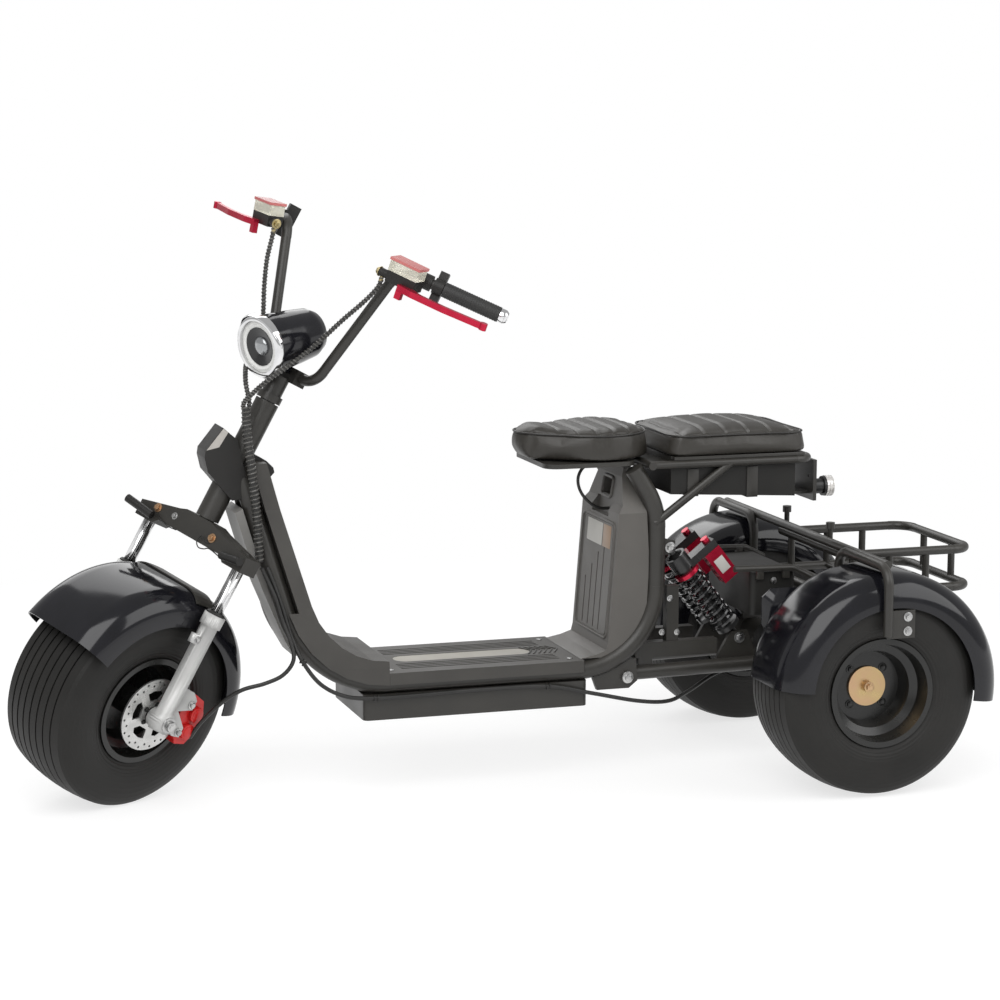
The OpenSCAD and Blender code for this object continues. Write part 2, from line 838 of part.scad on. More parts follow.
// black strap over the fender's crown, between the legs
strap_half = front_fender_half + fender_t + 0.5;
strap_r = front_fender_r + fender_t + 0.5;
function strap_side(t) = [for (a = [0 : 10 : 50])
    [strap_half - fender_side + (fender_side - t) * sin(a),
        strap_r - fender_side + (fender_side - t) * cos(a)]];
module fender_brace() {
    color([0.04, 0.04, 0.04])
        fork_frame()
            arc_ring(concat(mirror_back(strap_side(0)), strap_side(0), reversed(strap_side(fender_t)),
                mirror_back(reversed(strap_side(fender_t)))), 84, 96);
}

// red front brake caliper over the disc's rear edge
disc_v = 114;
module front_caliper() {
    color([0.8, 0.04, 0.05])
        fork_frame()
            difference() {
                side_slab(101, 128.5,
                    [[-62, 62], [-80, 74], [-112, 66], [-128, 40], [-130, -6], [-116, -34],
                        [-88, -40], [-62, -8]]);
                pin(0, 0, disc_v - 5, disc_v + 5, disc_r + 6);
            }
}

// handlebar path: clamp, riser, grip on each side
bar_x0 = -26;
bar_path = [
    [-118, -362, bar_z + bar_rise + 10],
    [14, -175, bar_z + bar_rise],
    [bar_x0, -72, bar_z],
    [bar_x0, 72, bar_z],
    [14, 175, bar_z + bar_rise],
    [-118, 362, bar_z + bar_rise + 10]
];
bar_bends = [50, 50, 50, 50];
grip_dir = unit(bar_path[5] - bar_path[4]);
module handlebar() {
    color([0.05, 0.05, 0.055])
        fork_frame()
            pipe(bar_path, bar_bends, bar_r);
}

// a shape along the left grip: z runs outward from the grip's inner end
function grip_at(d) = bar_path[5] - grip_dir * d;
module on_grips(d) {
    both_sides()
        translate(grip_at(d))
            rotate([0, acos(grip_dir[2]), atan2(grip_dir[1], grip_dir[0])])
                children();
}

module sleeve(h, r) {
    difference() {
        cylinder(h = h, r = r);
        translate([0, 0, -1])
            cylinder(h = h + 2, r = bar_r + 0.05);
    }
}

module grips() {
    color([0.04, 0.04, 0.04])
        fork_frame()
            on_grips(128)
                sleeve(126, grip_r);
}

// what sits on the bar inside each grip: x forward, y out along the lever
perch_at = [24, 212, bar_z + bar_rise - 4];
perch_out = 15.5;
perch_tilt = 20;
body_x = [-6, 30];
body_y = [-34, 36];
module on_perches() {
    both_sides()
        translate(perch_at)
            rotate([0, 0, perch_out])
                rotate([0, perch_tilt, 0])
                    children();
}

// lever perches with master cylinders, and the switch pods beside the grips
module bar_controls() {
    color([0.05, 0.05, 0.05])
        fork_frame()
            difference() {
                union() {
                    on_perches() {
                        box(body_x[0], body_x[1], body_y[0], body_y[1], -24, 0);
                        box(-40, body_x[0] + 2, -2, 22, -14, 0);
                        pin(20, -13, -54, -30, 9);
                    }
                    on_grips(182)
                        cylinder(h = 26, r = 17);
                    on_grips(151) {
                        cylinder(h = 21, r = 17);
                        box(-34, 40, 4, 30, 1, 20);
                    }
                }
                pipe(bar_path, bar_bends, bar_r + 0.05);
            }
}

module fluid_reservoirs() {
    color([0.85, 0.84, 0.78])
        fork_frame()
            on_perches()
                box(body_x[0], body_x[1], body_y[0], body_y[1], 0.3, 23);
}

module reservoir_lids() {
    color([0.8, 0.3, 0.3])
        fork_frame()
            on_perches()
                box(body_x[0] - 2, body_x[1] + 2, body_y[0] - 2, body_y[1] + 2, 23.3, 29);
}

// red levers in front of the grips
lever_z = [-29, -16];
module brake_levers() {
    color([0.75, 0.05, 0.07])
        fork_frame()
            on_perches()
                union() {
                    translate([0, 0, lever_z[0]])
                        linear_extrude(height = lever_z[1] - lever_z[0])
                            polygon([[30.3, 4], [42, 4], [48, 40], [45, 120], [30, 208], [21, 208],
                                [35, 118],
                                [37, 60], [30.3, 40]]);
                    translate([25, 210, lever_z[0] - 1])
                        cylinder(h = lever_z[1] - lever_z[0] + 2, r = 8);
                    box(30.3, 42, 4, 18, -46, -20);
                }
}

// headlight pod, chromed bezel and lens on the pod's own axis
lamp_tilt = 5.3;
lamp_back = 88;
lamp_front = 62;
module lamp_frame() {
    fork_frame()
        translate([40, 0, 824])
            rotate([0, 90 + rake + lamp_tilt, 0])
                children();
}

module headlight_shell() {
    color([0.04, 0.04, 0.045])
        union() {
            lamp_frame()
                rotate_extrude()
                    polygon([[0, -lamp_back], [28, -lamp_back], [44, 8 - lamp_back], [53, 26 - lamp_back],
                        [58, -20], [lamp_r - 6, 30], [lamp_r - 5, lamp_front], [0, lamp_front]]);
            fork_frame()
                box(bar_x0 + 20.3, 12, -14, 14, bar_z - 2, bar_z + 40);
        }
}

module headlight_bezel() {
    color([0.85, 0.85, 0.87])
        lamp_frame()
            translate([0, 0, lamp_front + 0.3])
                difference() {
                    rotate_extrude()
                        polygon([[lamp_r - 12, 0], [lamp_r, 0], [lamp_r, 8], [lamp_r - 4, 13],
                            [lamp_r - 12, 13]]);
                }
}

module headlight_lens() {
    color([0.7, 0.75, 0.8])
        lamp_frame()
            translate([0, 0, lamp_front + 0.3])
                cylinder(h = 9, r = lamp_r - 12.2);
}

// stubs either side of the fork clamp for turn signals
module turn_signals() {
    color([0.05, 0.05, 0.05])
        fork_frame()
            both_sides()
                rod([34.5, leg_v - 30, clamp_z + 14], [52, leg_v + 40, clamp_z + 22], 9);
}

// cords: hand-set points joined by a smooth curve, swept with eight sides
cord_sides = 8;
cord_steps = 3;
leg_wrap = 6;
trunk_wrap = 11;
hose_r = 4.5;
lead_r = 3.5;
// from the brake fittings on the bar to the front of the head, in the fork's frame
left_leg = [[47, 170, 1027], [41, 167, 1006], [41, 152, 968], [42, 122, 912], [46, 95, 850], [62, 80, 800],
    [92, 62, 735], [90, 36, 692], [78, 15, 664]];
right_leg = [[47, -170, 1027], [41, -167, 1006], [40, -152, 960], [34, -128, 905], [26, -102, 852],
    [20, -84, 800], [52, -58, 752], [74, -14, 710], [69, 21, 671]];
// from the foot of the harness to the front caliper, in the object's frame
front_hose = [[1262, 92, 503], [1252, 92, 480], [1236, 102, 440], [1222, 110, 390], [1208, 124, 345],
    [1206, 134, 310],
    [1228, 132, 280], [1265, 122, 262], [1311, 108, 248], [1350, 90, 220], [1390, 68, 176],
        [1412, 52, 140]];
trunk = [[1284, 54, 839], [1284, 58, 800], [1283, 66, 765], [1279, 74, 721], [1272, 75, 658],
    [1267, 77, 593],
    [1266, 86, 515]];
// along the left tubes to the drive motor
rear_hose = [[1249, 84, 503], [1238, 88, 474], [1221, 99, 420], [1204, 112, 355], [1184, 130, 304],
    [1146, 134, 254],
    [1090, 133, 224], [1026, 133, 217], [935, 133, 217], [783, 133, 220], [640, 133, 217], [537, 131, 194],
    [428, 124, 168], [352, 112, 160], [290, 80, 172], [220, 46, 196], [150, 40, 216], [84.5, 40, 228]];
seat_lead = [[474, 26, 684], [500, 26, 684], [524, 26, 676], [536, 26, 656], [534, 25, 632], [520, 24, 608],
    [496, 21, 588], [476, 19, 582], [461, 18, 582]];
function on_curve(p, i, t) =
    let (a = p[max(i - 1, 0)], b = p[i], c = p[i + 1], d = p[min(i + 2, len(p) - 1)])
    b + ((c - a) * t + (2 * a - 5 * b + 4 * c - d) * t * t + (3 * b - 3 * c + d - a) * t * t * t) / 2;
function smooth_route(p) = concat(
    [for (i = [0 : len(p) - 2], k = [0 : cord_steps - 1]) on_curve(p, i, k / cord_steps)],
    [p[len(p) - 1]]);
function cord_ring(p, i, r, side) =
    let (t = unit(p[min(i + 1, len(p) - 1)] - p[max(i - 1, 0)]), u = unit(cross(side, t)), w = cross(t, u))
    [for (k = [0 : cord_sides - 1])
        p[i] + r * (cos(360 * k / cord_sides) * u + sin(360 * k / cord_sides) * w)];
module cord(route, r, side) {
    p = smooth_route(route);
    last = (len(p) - 1) * cord_sides;
    polyhedron(
        points = [for (i = [0 : len(p) - 1]) each cord_ring(p, i, r, side)],
        faces = concat(
            [for (i = [0 : len(p) - 2], k = [0 : cord_sides - 1])
                let (n = (k + 1) % cord_sides, a = i * cord_sides, b = a + cord_sides)
                [a + k, b + k, b + n, a + n]],
            [[for (k = [0 : cord_sides - 1]) k], [for (k = [cord_sides - 1 : -1 : 0]) last + k]]));
}

// wrapped leads from both brake fittings, and the hose down to the front caliper
module bar_cables() {
    color([0.03, 0.03, 0.03]) {
        fork_frame() {
            cord(left_leg, leg_wrap, [1, 0, 0]);
            cord(right_leg, leg_wrap, [1, 0, 0]);
        }
        cord(front_hose, hose_r, [0, 1, 0]);
    }
}

// wrapped trunk beside the head, rear brake hose under the floor and the seat lead
module frame_cables() {
    color([0.03, 0.03, 0.03]) {
        cord(trunk, trunk_wrap, [1, 0, 0]);
        cord(rear_hose, hose_r, [0, 1, 0]);
        cord(seat_lead, lead_r, [0, 1, 0]);
    }
}

// wheels
rim_face = 97;
module front_tyre() {
    color([0.06, 0.06, 0.06])
        fork_frame()
            wheel_ring(tyre_section);
}

module rim_solid(bore) {
    wheel_ring(concat([[rim_face, rim_r]], dish_from(bore), [[-rim_face, rim_r]]));
}

function dish_from(bore) = concat(
    [[rim_face, rim_r - 12], [60, rim_r - 18], [52, 84], [14, 76], [14, bore]],
    [[-14, bore], [-14, 76], [-52, 84], [-60, rim_r - 18], [-rim_face, rim_r - 12]]);

module front_rim() {
    color([0.05, 0.05, 0.055])
        fork_frame()
            union() {
                rim_solid(axle_r + fit);
                difference() {
                    pin(0, 0, -108, disc_v - 2.2, 30);
                    pin(0, 0, -120, 120, axle_r + fit);
                }
            }
}

// drilled brake disc with five windows
window_n = 5;
hole_n = 30;
module front_disc() {
    color([0.75, 0.76, 0.78])
        fork_frame()
            difference() {
                pin(0, 0, disc_v - 2, disc_v + 2, disc_r);
                pin(0, 0, disc_v - 5, disc_v + 5, 18);
                for (i = [0 : window_n - 1])
                    rotate([0, i * 360 / window_n, 0])
                        side_slab(disc_v - 5, disc_v + 5, [[30, -14], [48, -24], [54, -10], [54, 10],
                            [46, 18], [34, 8]]);
                for (i = [0 : hole_n - 1])
                    rotate([0, i * 360 / hole_n, 0])
                        pin(disc_r - (i % 2 == 0 ? 6 : 13), 0, disc_v - 5, disc_v + 5, 2.6);
            }
}

// rear wheels with their half shafts
shaft_r = 14;
module at_rear(s) {
    translate([0, s * half_track, rear_z])
        rotate([0, 0, s > 0 ? 0 : 180])
            children();
}

module rear_tyre(s) {
    color([0.06, 0.06, 0.06])
        at_rear(s)
            wheel_ring(tyre_section);
}

module rear_rim(s) {
    color([0.05, 0.05, 0.055])
        at_rear(s)
            union() {
                rim_solid(0);
                pin(0, 0, -94, -13, 34);
                pin(0, 0, -134, -13, shaft_r);
            }
}

module hub_disc(s) {
    color([0.75, 0.6, 0.3])
        at_rear(s) {
            pin(0, 0, 14.2, 20, 43);
            pin(0, 0, 20, 30, 12);
        }
}

module rear_tyre_left() {
    rear_tyre(1);
}

module rear_rim_left() {
    rear_rim(1);
}

module hub_disc_left() {
    hub_disc(1);
}

module rear_tyre_right() {
    rear_tyre(-1);
}

module rear_rim_right() {
    rear_rim(-1);
}

module hub_disc_right() {
    hub_disc(-1);
}

module place() {
    translate([-x_mid, 0, 0])
        children();
}

place() main_frame();
place() footboard();
place() underfloor_box();
place() leg_shield();
place() battery_cover();
place() driver_seat();
place() passenger_seat();
place() underseat_box();
place() seat_rail();
place() tail_bracket();
place() tail_lamp();
place() swing_arm();
place() pivot_bolts();
place() rear_axle();
place() drive_motor();
place() shock_bodies();
place() shock_springs();
place() shock_reservoirs();
place() rear_case();
place() case_bars();
place() reservoir_lids();
place() rear_fenders();
place() rear_rack();
place() basket();
place() head_covers();
place() fork_clamp();
place() fork_tubes();
place() fork_lowers();
place() front_fender();
place() fender_brace();
place() front_caliper();
place() handlebar();
place() grips();
place() bar_controls();
place() fluid_reservoirs();
place() brake_levers();
place() headlight_shell();
place() headlight_bezel();
place() headlight_lens();
place() turn_signals();
place() bar_cables();
place() frame_cables();
place() front_tyre();
place() front_rim();
place() front_disc();
place() rear_tyre_left();
place() rear_rim_left();
place() hub_disc_left();
place() rear_tyre_right();
place() rear_rim_right();
place() hub_disc_right();
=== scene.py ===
import math

import bmesh
import bpy
from mathutils import Matrix, Vector


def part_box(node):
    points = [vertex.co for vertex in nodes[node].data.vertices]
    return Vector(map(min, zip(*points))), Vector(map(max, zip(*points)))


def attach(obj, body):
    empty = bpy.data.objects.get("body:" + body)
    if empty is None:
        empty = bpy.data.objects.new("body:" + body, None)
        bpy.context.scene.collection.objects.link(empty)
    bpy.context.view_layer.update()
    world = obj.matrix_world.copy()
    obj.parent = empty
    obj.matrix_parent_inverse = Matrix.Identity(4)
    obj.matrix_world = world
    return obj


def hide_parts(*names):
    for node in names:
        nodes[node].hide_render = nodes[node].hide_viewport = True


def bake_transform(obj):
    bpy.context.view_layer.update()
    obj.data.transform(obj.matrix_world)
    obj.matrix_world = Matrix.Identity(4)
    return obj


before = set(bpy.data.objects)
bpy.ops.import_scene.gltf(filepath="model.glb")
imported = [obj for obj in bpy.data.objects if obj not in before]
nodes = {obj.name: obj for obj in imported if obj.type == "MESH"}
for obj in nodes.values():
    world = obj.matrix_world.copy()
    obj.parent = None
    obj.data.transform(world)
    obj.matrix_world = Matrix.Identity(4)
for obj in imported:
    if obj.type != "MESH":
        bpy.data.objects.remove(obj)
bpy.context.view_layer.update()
scene = bpy.context.scene
scene.view_settings.view_transform = "Standard"

# Camera: a long lens at standing height, ahead of the scooter's left side.
# Places are given in millimetres from the middle of the rear axle, as they are measured on the object.
X_MID = 714.013
YAW = 0.315
PITCH = 0.1597
ROLL = 0.0039


def at(x, y, z):
    return Vector((x - X_MID, y, z)) / 1000


sight = Vector((-math.sin(YAW) * math.cos(PITCH), -math.cos(YAW) * math.cos(PITCH), -math.sin(PITCH)))
level = Vector((-math.cos(YAW), math.sin(YAW), 0))
upright = level.cross(sight)
across = level * math.cos(ROLL) + upright * math.sin(ROLL)
upward = upright * math.cos(ROLL) - level * math.sin(ROLL)
lens = bpy.data.cameras.new("camera")
lens.lens = 102.73
lens.sensor_width = 36
lens.clip_end = 200
camera = bpy.data.objects.new("camera", lens)
aimed = Matrix((across, upward, -sight)).transposed().to_4x4()
camera.matrix_world = Matrix.Translation(at(2610.5, 5840, 1597.3)) @ aimed
scene.collection.objects.link(camera)
scene.camera = camera

# Wiring harness and brake hoses: leads from both bar ends, wound with a plastic spiral, meet in one trunk
# beside the head. Two rubber hoses go on from its foot, to the front caliper and to the drive motor.
RAKE = math.radians(28.5)
STEER = math.radians(32)
FRONT_X = 1555
FRONT_Z = 235.1
LEFT = Vector((0, 1, 0))
UP = Vector((0, 0, 1))
BACK = Vector((-1, 0, 0))
COLOUR = "NodeSocketColor"
NUMBER = "NodeSocketFloat"
VECTOR = "NodeSocketVector"
BLACK = (0.03, 0.03, 0.03, 1)
MIDDLE = (("From Min", 0.35), ("From Max", 0.65))


def on_head(f, v, a):
    """A place ahead of, left of and along the steering axis, counted from the front axle."""
    return at(FRONT_X + math.cos(RAKE) * f - math.sin(RAKE) * a, v,
              FRONT_Z + math.sin(RAKE) * f + math.cos(RAKE) * a)


def on_fork(f, v, a):
    """The same on the fork, which stands turned to the left."""
    return on_head(math.cos(STEER) * f - math.sin(STEER) * v, math.sin(STEER) * f + math.cos(STEER) * v, a)


def fork_way(f, v, a):
    return (on_fork(f, v, a) - on_fork(0, 0, 0)).normalized()


def make_group(name, inputs, outputs):
    group = bpy.data.node_groups.new(name, "ShaderNodeTree")
    for label, kind, value in inputs:
        group.interface.new_socket(label, in_out="INPUT", socket_type=kind).default_value = value
    for label, kind in outputs:
        group.interface.new_socket(label, in_out="OUTPUT", socket_type=kind)
    ends = group.nodes.new("NodeGroupInput"), group.nodes.new("NodeGroupOutput")
    return group, ends[0].outputs, ends[1].inputs


def add(tree, kind, values=(), operation=None, group=None):
    """Adds a shader node and sets the inputs that are given a value; a mix is one of colours."""
    node = tree.nodes.new("ShaderNode" + kind)
    if operation:
        node.operation = operation
    if group:
        node.node_tree = group
    if kind == "Mix":
        node.data_type = "RGBA"
    for label, value in values:
        node.inputs[label].default_value = value
    return node


def wire(tree, *pairs):
    for source, target in pairs:
        tree.links.new(source, target)


# surface skin: slow patches of shade and gloss, and a fine grain for the bump
skin, given, wanted = make_group(
    "surface_skin",
    [("Colour", COLOUR, BLACK), ("Pale", COLOUR, BLACK), ("Patch", NUMBER, 9), ("Grain", NUMBER, 900),
     ("Smooth", NUMBER, 0.3), ("Rough", NUMBER, 0.5)],
    [("Colour", COLOUR), ("Roughness", NUMBER), ("Height", NUMBER)])
where = add(skin, "TexCoord").outputs["Object"]
patch = add(skin, "TexNoise", [("Detail", 5)])
grain = add(skin, "TexNoise", [("Detail", 3)])
shade = add(skin, "Mix")
spread = add(skin, "MapRange", MIDDLE)
gloss = add(skin, "MapRange", MIDDLE)
wire(skin, (where, patch.inputs["Vector"]), (given["Patch"], patch.inputs["Scale"]),
     (where, grain.inputs["Vector"]), (given["Grain"], grain.inputs["Scale"]),
     (patch.outputs["Fac"], spread.inputs["Value"]), (spread.outputs["Result"], shade.inputs[0]),
     (given["Colour"], shade.inputs[6]), (given["Pale"], shade.inputs[7]),
     (patch.outputs["Fac"], gloss.inputs["Value"]), (given["Smooth"], gloss.inputs["To Min"]),
     (given["Rough"], gloss.inputs["To Max"]), (shade.outputs[2], wanted["Colour"]),
     (gloss.outputs["Result"], wanted["Roughness"]), (grain.outputs["Fac"], wanted["Height"]))

# settled dust: a thin pale film on what faces up, broken by noise
film, given, wanted = make_group(
    "settled_dust",
    [("Colour", COLOUR, BLACK), ("Dust", COLOUR, (0.3, 0.27, 0.23, 1)), ("Amount", NUMBER, 0.1)],
    [("Colour", COLOUR)])
where = add(film, "TexCoord").outputs["Object"]
facing = add(film, "NewGeometry")
parts = add(film, "SeparateXYZ")
speck = add(film, "TexNoise", [("Scale", 38), ("Detail", 6)])
upper = add(film, "MapRange", [("From Min", 0.2)])
both = add(film, "Math", operation="MULTIPLY")
dose = add(film, "Math", operation="MULTIPLY")
cover = add(film, "Mix")
wire(film, (where, speck.inputs["Vector"]), (facing.outputs["Normal"], parts.inputs[0]),
     (parts.outputs["Z"], upper.inputs["Value"]), (upper.outputs["Result"], both.inputs[0]),
     (speck.outputs["Fac"], both.inputs[1]), (both.outputs[0], dose.inputs[0]),
     (given["Amount"], dose.inputs[1]), (dose.outputs[0], cover.inputs[0]),
     (given["Colour"], cover.inputs[6]), (given["Dust"], cover.inputs[7]),
     (cover.outputs[2], wanted["Colour"]))


def blank(name):
    material = bpy.data.materials.new(name)
    material.use_nodes = True
    return material, material.node_tree, material.node_tree.nodes["Principled BSDF"]


def lay(tree, shader, tint, surface, strength, distance):
    """Links a surface group's shade, gloss and height to a shader."""
    relief = add(tree, "Bump", [("Strength", strength), ("Distance", distance)])
    wire(tree, (tint, shader.inputs["Base Color"]),
         (surface.outputs["Roughness"], shader.inputs["Roughness"]),
         (surface.outputs["Height"], relief.inputs["Height"]),
         (relief.outputs["Normal"], shader.inputs["Normal"]))


def finish(name, colour, pale, smooth, rough, grain=900, bump=0.1, patch=9, metal=0.0, coat=0.0, dust=0.0,
           shine=0.5):
    """A procedural finish: patches of two shades and two gloss levels, fine grain, and dust on top."""
    material, tree, shader = blank(name)
    for label, value in (("Metallic", metal), ("Specular IOR Level", shine), ("Coat Weight", coat),
                         ("Coat Roughness", 0.04)):
        shader.inputs[label].default_value = value
    surface = add(tree, "Group", [("Colour", (*colour, 1)), ("Pale", (*pale, 1)), ("Patch", patch),
                                  ("Grain", grain), ("Smooth", smooth), ("Rough", rough)], group=skin)
    tint = surface.outputs["Colour"]
    if dust:
        layer = add(tree, "Group", [("Amount", dust)], group=film)
        wire(tree, (tint, layer.inputs["Colour"]))
        tint = layer.outputs["Colour"]
    lay(tree, shader, tint, surface, bump, 0.0004)
    return material


def piece(name, shape, material, body, sharp=32):
    """Turns a bmesh into a finished piece on a body, or on none if no body is given."""
    mesh = bpy.data.meshes.new(name)
    bmesh.ops.recalc_face_normals(shape, faces=shape.faces)
    shape.to_mesh(mesh)
    shape.free()
    mesh.materials.append(material)
    mesh.shade_smooth()
    mesh.set_sharp_from_angle(angle=math.radians(sharp))
    made = bpy.data.objects.new(name, mesh)
    scene.collection.objects.link(made)
    if body:
        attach(made, body)
    return made


def smooth_route(points, steps):
    """The curve that the part's source runs through the same points."""
    out = []
    for i in range(len(points) - 1):
        a, b, c, d = points[max(i - 1, 0)], points[i], points[i + 1], points[min(i + 2, len(points) - 1)]
        for k in range(steps):
            t = k / steps
            out.append(b + ((c - a) * t + (2 * a - 5 * b + 4 * c - d) * t * t
                            + (3 * b - 3 * c + d - a) * t * t * t) / 2)
    return out + [points[-1]]


def tube(shape, points, radius, round_steps=3, closed=False):
    """Adds a round tube along the points to a bmesh."""
    curve = bpy.data.curves.new("route", "CURVE")
    curve.dimensions = "3D"
    curve.bevel_depth = radius
    curve.bevel_resolution = round_steps
    curve.use_fill_caps = True
    line = curve.splines.new("POLY")
    line.points.add(len(points) - 1)
    for place, p in zip(line.points, points):
        place.co = (*p, 1)
    line.use_cyclic_u = closed
    holder = bpy.data.objects.new("route", curve)
    mesh = bpy.data.meshes.new_from_object(holder)
    shape.from_mesh(mesh)
    bpy.data.objects.remove(holder)
    bpy.data.curves.remove(curve)
    bpy.data.meshes.remove(mesh)


def wound(route, radius, pitch, side):
    """Points of a spiral that runs round a route."""
    out = []
    turn = 0.0
    for p, q in zip(route, route[1:]):
        way = (q - p).normalized()
        u = side.cross(way).normalized()
        w = way.cross(u)
        count = max(1, round((q - p).length / pitch * 10))
        for k in range(count):
            angle = turn + 2 * math.pi * (q - p).length / pitch * k / count
            out.append(p.lerp(q, k / count) + radius * (math.cos(angle) * u + math.sin(angle) * w))
        turn += 2 * math.pi * (q - p).length / pitch
    return out


left_leg = [(47, 170, 1027), (41, 167, 1006), (41, 152, 968), (42, 122, 912), (46, 95, 850), (62, 80, 800),
            (92, 62, 735), (90, 36, 692), (78, 15, 664)]
right_leg = [(47, -170, 1027), (41, -167, 1006), (40, -152, 960), (34, -128, 905), (26, -102, 852),
             (20, -84, 800), (52, -58, 752), (74, -14, 710), (69, 21, 671)]
trunk = [(1284, 54, 839), (1284, 58, 800), (1283, 66, 765), (1279, 74, 721), (1272, 75, 658), (1267, 77, 593),
         (1266, 86, 515)]
front_hose = [(1262, 92, 503), (1252, 92, 480), (1236, 102, 440), (1222, 110, 390), (1208, 124, 345),
              (1206, 134, 310), (1228, 132, 280), (1265, 122, 262), (1311, 108, 248), (1350, 90, 220),
              (1390, 68, 176), (1412, 52, 140)]
rear_hose = [(1249, 84, 503), (1238, 88, 474), (1221, 99, 420), (1204, 112, 355), (1184, 130, 304),
             (1146, 134, 254), (1090, 133, 224), (1026, 133, 217), (935, 133, 217), (783, 133, 220),
             (640, 133, 217), (537, 131, 194), (428, 124, 168), (352, 112, 160), (290, 80, 172),
             (220, 46, 196), (150, 40, 216), (84.5, 40, 228)]
seat_lead = [(474, 26, 684), (500, 26, 684), (524, 26, 676), (536, 26, 656), (534, 25, 632), (520, 24, 608),
             (496, 21, 588), (476, 19, 582), (461, 18, 582)]
wrap_black = finish("wrap_black", (0.05, 0.048, 0.044), (0.11, 0.106, 0.098), 0.2, 0.3, grain=500, bump=0.05,
                    patch=60)
hose_rubber = finish("hose_rubber", (0.012, 0.012, 0.011), (0.022, 0.021, 0.02), 0.4, 0.55, bump=0.15)

harness = bmesh.new()
wrap = bmesh.new()
for points, radius, pitch in (
        ([on_fork(*p) for p in left_leg] + [at(1284, 57, 828)], 0.0042, 0.0078),
        ([on_fork(*p) for p in right_leg] + [at(1284, 51, 828)], 0.0042, 0.0078),
        ([at(*p) for p in trunk], 0.0088, 0.0092)):
    route = smooth_route(points, 8)
    tube(harness, route, radius, 3)
    tube(wrap, wound(route, radius - 0.0004, pitch, Vector((1, 0.3, 0))), 0.0021, 2)
harness = piece("wiring_harness", harness, hose_rubber, None)
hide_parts("bar_cables", "frame_cables")
for made in (harness, piece("harness_wrap", wrap, wrap_black, None)):
    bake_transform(made)

hose = bmesh.new()
tube(hose, smooth_route([at(*p) for p in front_hose], 8), 0.0045, 4)
hose = piece("front_brake_hose", hose, hose_rubber, None)
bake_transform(hose)

hose = bmesh.new()
tube(hose, smooth_route([at(*p) for p in rear_hose], 8), 0.0045, 4)
piece("rear_brake_hose", hose, hose_rubber, "frame")

clips = bmesh.new()
for x, y, z, tilt in ((1184, 130, 304, -50), (1026, 133, 217, 0), (640, 133, 217, 8)):
    turn = math.radians(tilt)
    way = Vector((math.cos(turn), 0, -math.sin(turn)))
    for shift in (-0.004, 0.004):
        route = [at(x, y, z) + way * shift + 0.0058 * (math.cos(a) * LEFT + math.sin(a) * way.cross(LEFT))
                 for a in (2 * math.pi * k / 20 for k in range(20))]
        tube(clips, route, 0.0013, 2, closed=True)
piece("hose_clips", clips, hose_rubber, "frame")

lead = bmesh.new()
tube(lead, smooth_route([at(*p) for p in seat_lead], 8), 0.0035, 4)
piece("seat_lead", lead, hose_rubber, "frame")

# Main frame, arms, racks and bars: welded steel tube and plate under satin black powder coat.
# Zinc-plated bolts on washers hold the plates, the arms, the shocks and the hoops.
frame_paint = finish("frame_paint", (0.026, 0.0245, 0.0215), (0.034, 0.032, 0.028), 0.34, 0.44, grain=700,
                     bump=0.12, dust=0.06)


def dress(material, *names):
    """Gives a finish to solids whose shape stays as it is."""
    for name in names:
        slots = nodes[name].material_slots
        if len(slots) == 0:
            nodes[name].data.materials.append(material)
        for place in slots:
            place.material = material


dress(frame_paint, "main_frame", "seat_rail", "swing_arm", "rear_rack", "basket", "rear_axle", "fork_clamp",
      "handlebar", "tail_bracket", "fender_brace", "case_bars")


def soften(shape, edges, offset):
    bmesh.ops.bevel(shape, geom=edges, offset=offset, segments=2, profile=0.5, affect="EDGES", material=-1)


def disc(shape, place, way, radius, height, sides=28, bevel=0.0006, top=None):
    """Adds a short round or many-sided bar that stands on a place."""
    turn = UP.rotation_difference(way).to_matrix().to_4x4()
    made = bmesh.ops.create_cone(
        shape, cap_ends=True, segments=sides, radius1=radius, radius2=radius if top is None else top,
        depth=height, matrix=Matrix.Translation(place + way * height / 2) @ turn)["verts"]
    rims = {e for v in made for e in v.link_edges
            if any(len(f.verts) != 4 for f in e.link_faces) or sides < 8}
    if bevel:
        soften(shape, list(rims), bevel)


def bolt(shape, place, way, radius):
    """Adds a washer, a hexagon head and the end of its shank."""
    disc(shape, place, way, radius * 1.45, radius * 0.25)
    disc(shape, place + way * radius * 0.25, way, radius, radius * 0.8, sides=6, bevel=radius * 0.08)
    disc(shape, place + way * radius * 1.05, way, radius * 0.5, radius * 0.12, sides=20, bevel=0)


SHOCK_TOP = (338, 497)
SHOCK_FOOT = (170, 285)
zinc = finish("bright_zinc", (0.55, 0.55, 0.54), (0.42, 0.42, 0.42), 0.22, 0.38, grain=1500, bump=0.08,
              patch=60, metal=1.0)
dress(zinc, "pivot_bolts")
fixings = bmesh.new()
for side in (1, -1):
    for x, y, z, radius in (
            (452, 124, 222, 0.0085), (-43, 483, 398, 0.007), (-43, 483, 367, 0.007),
            (SHOCK_TOP[0], 76, SHOCK_TOP[1], 0.0085), (SHOCK_FOOT[0], 77, SHOCK_FOOT[1], 0.0085),
            (339, 81, 384, 0.005), (357, 81, 309, 0.005), (321, 81, 307, 0.005), (112, 128, 420, 0.005)):
        bolt(fixings, at(x, side * y, z), LEFT * side, radius)
    bolt(fixings, at(-4, side * 62.5, 640), BACK, 0.006)
piece("frame_bolts", fixings, zinc, "frame", sharp=25)

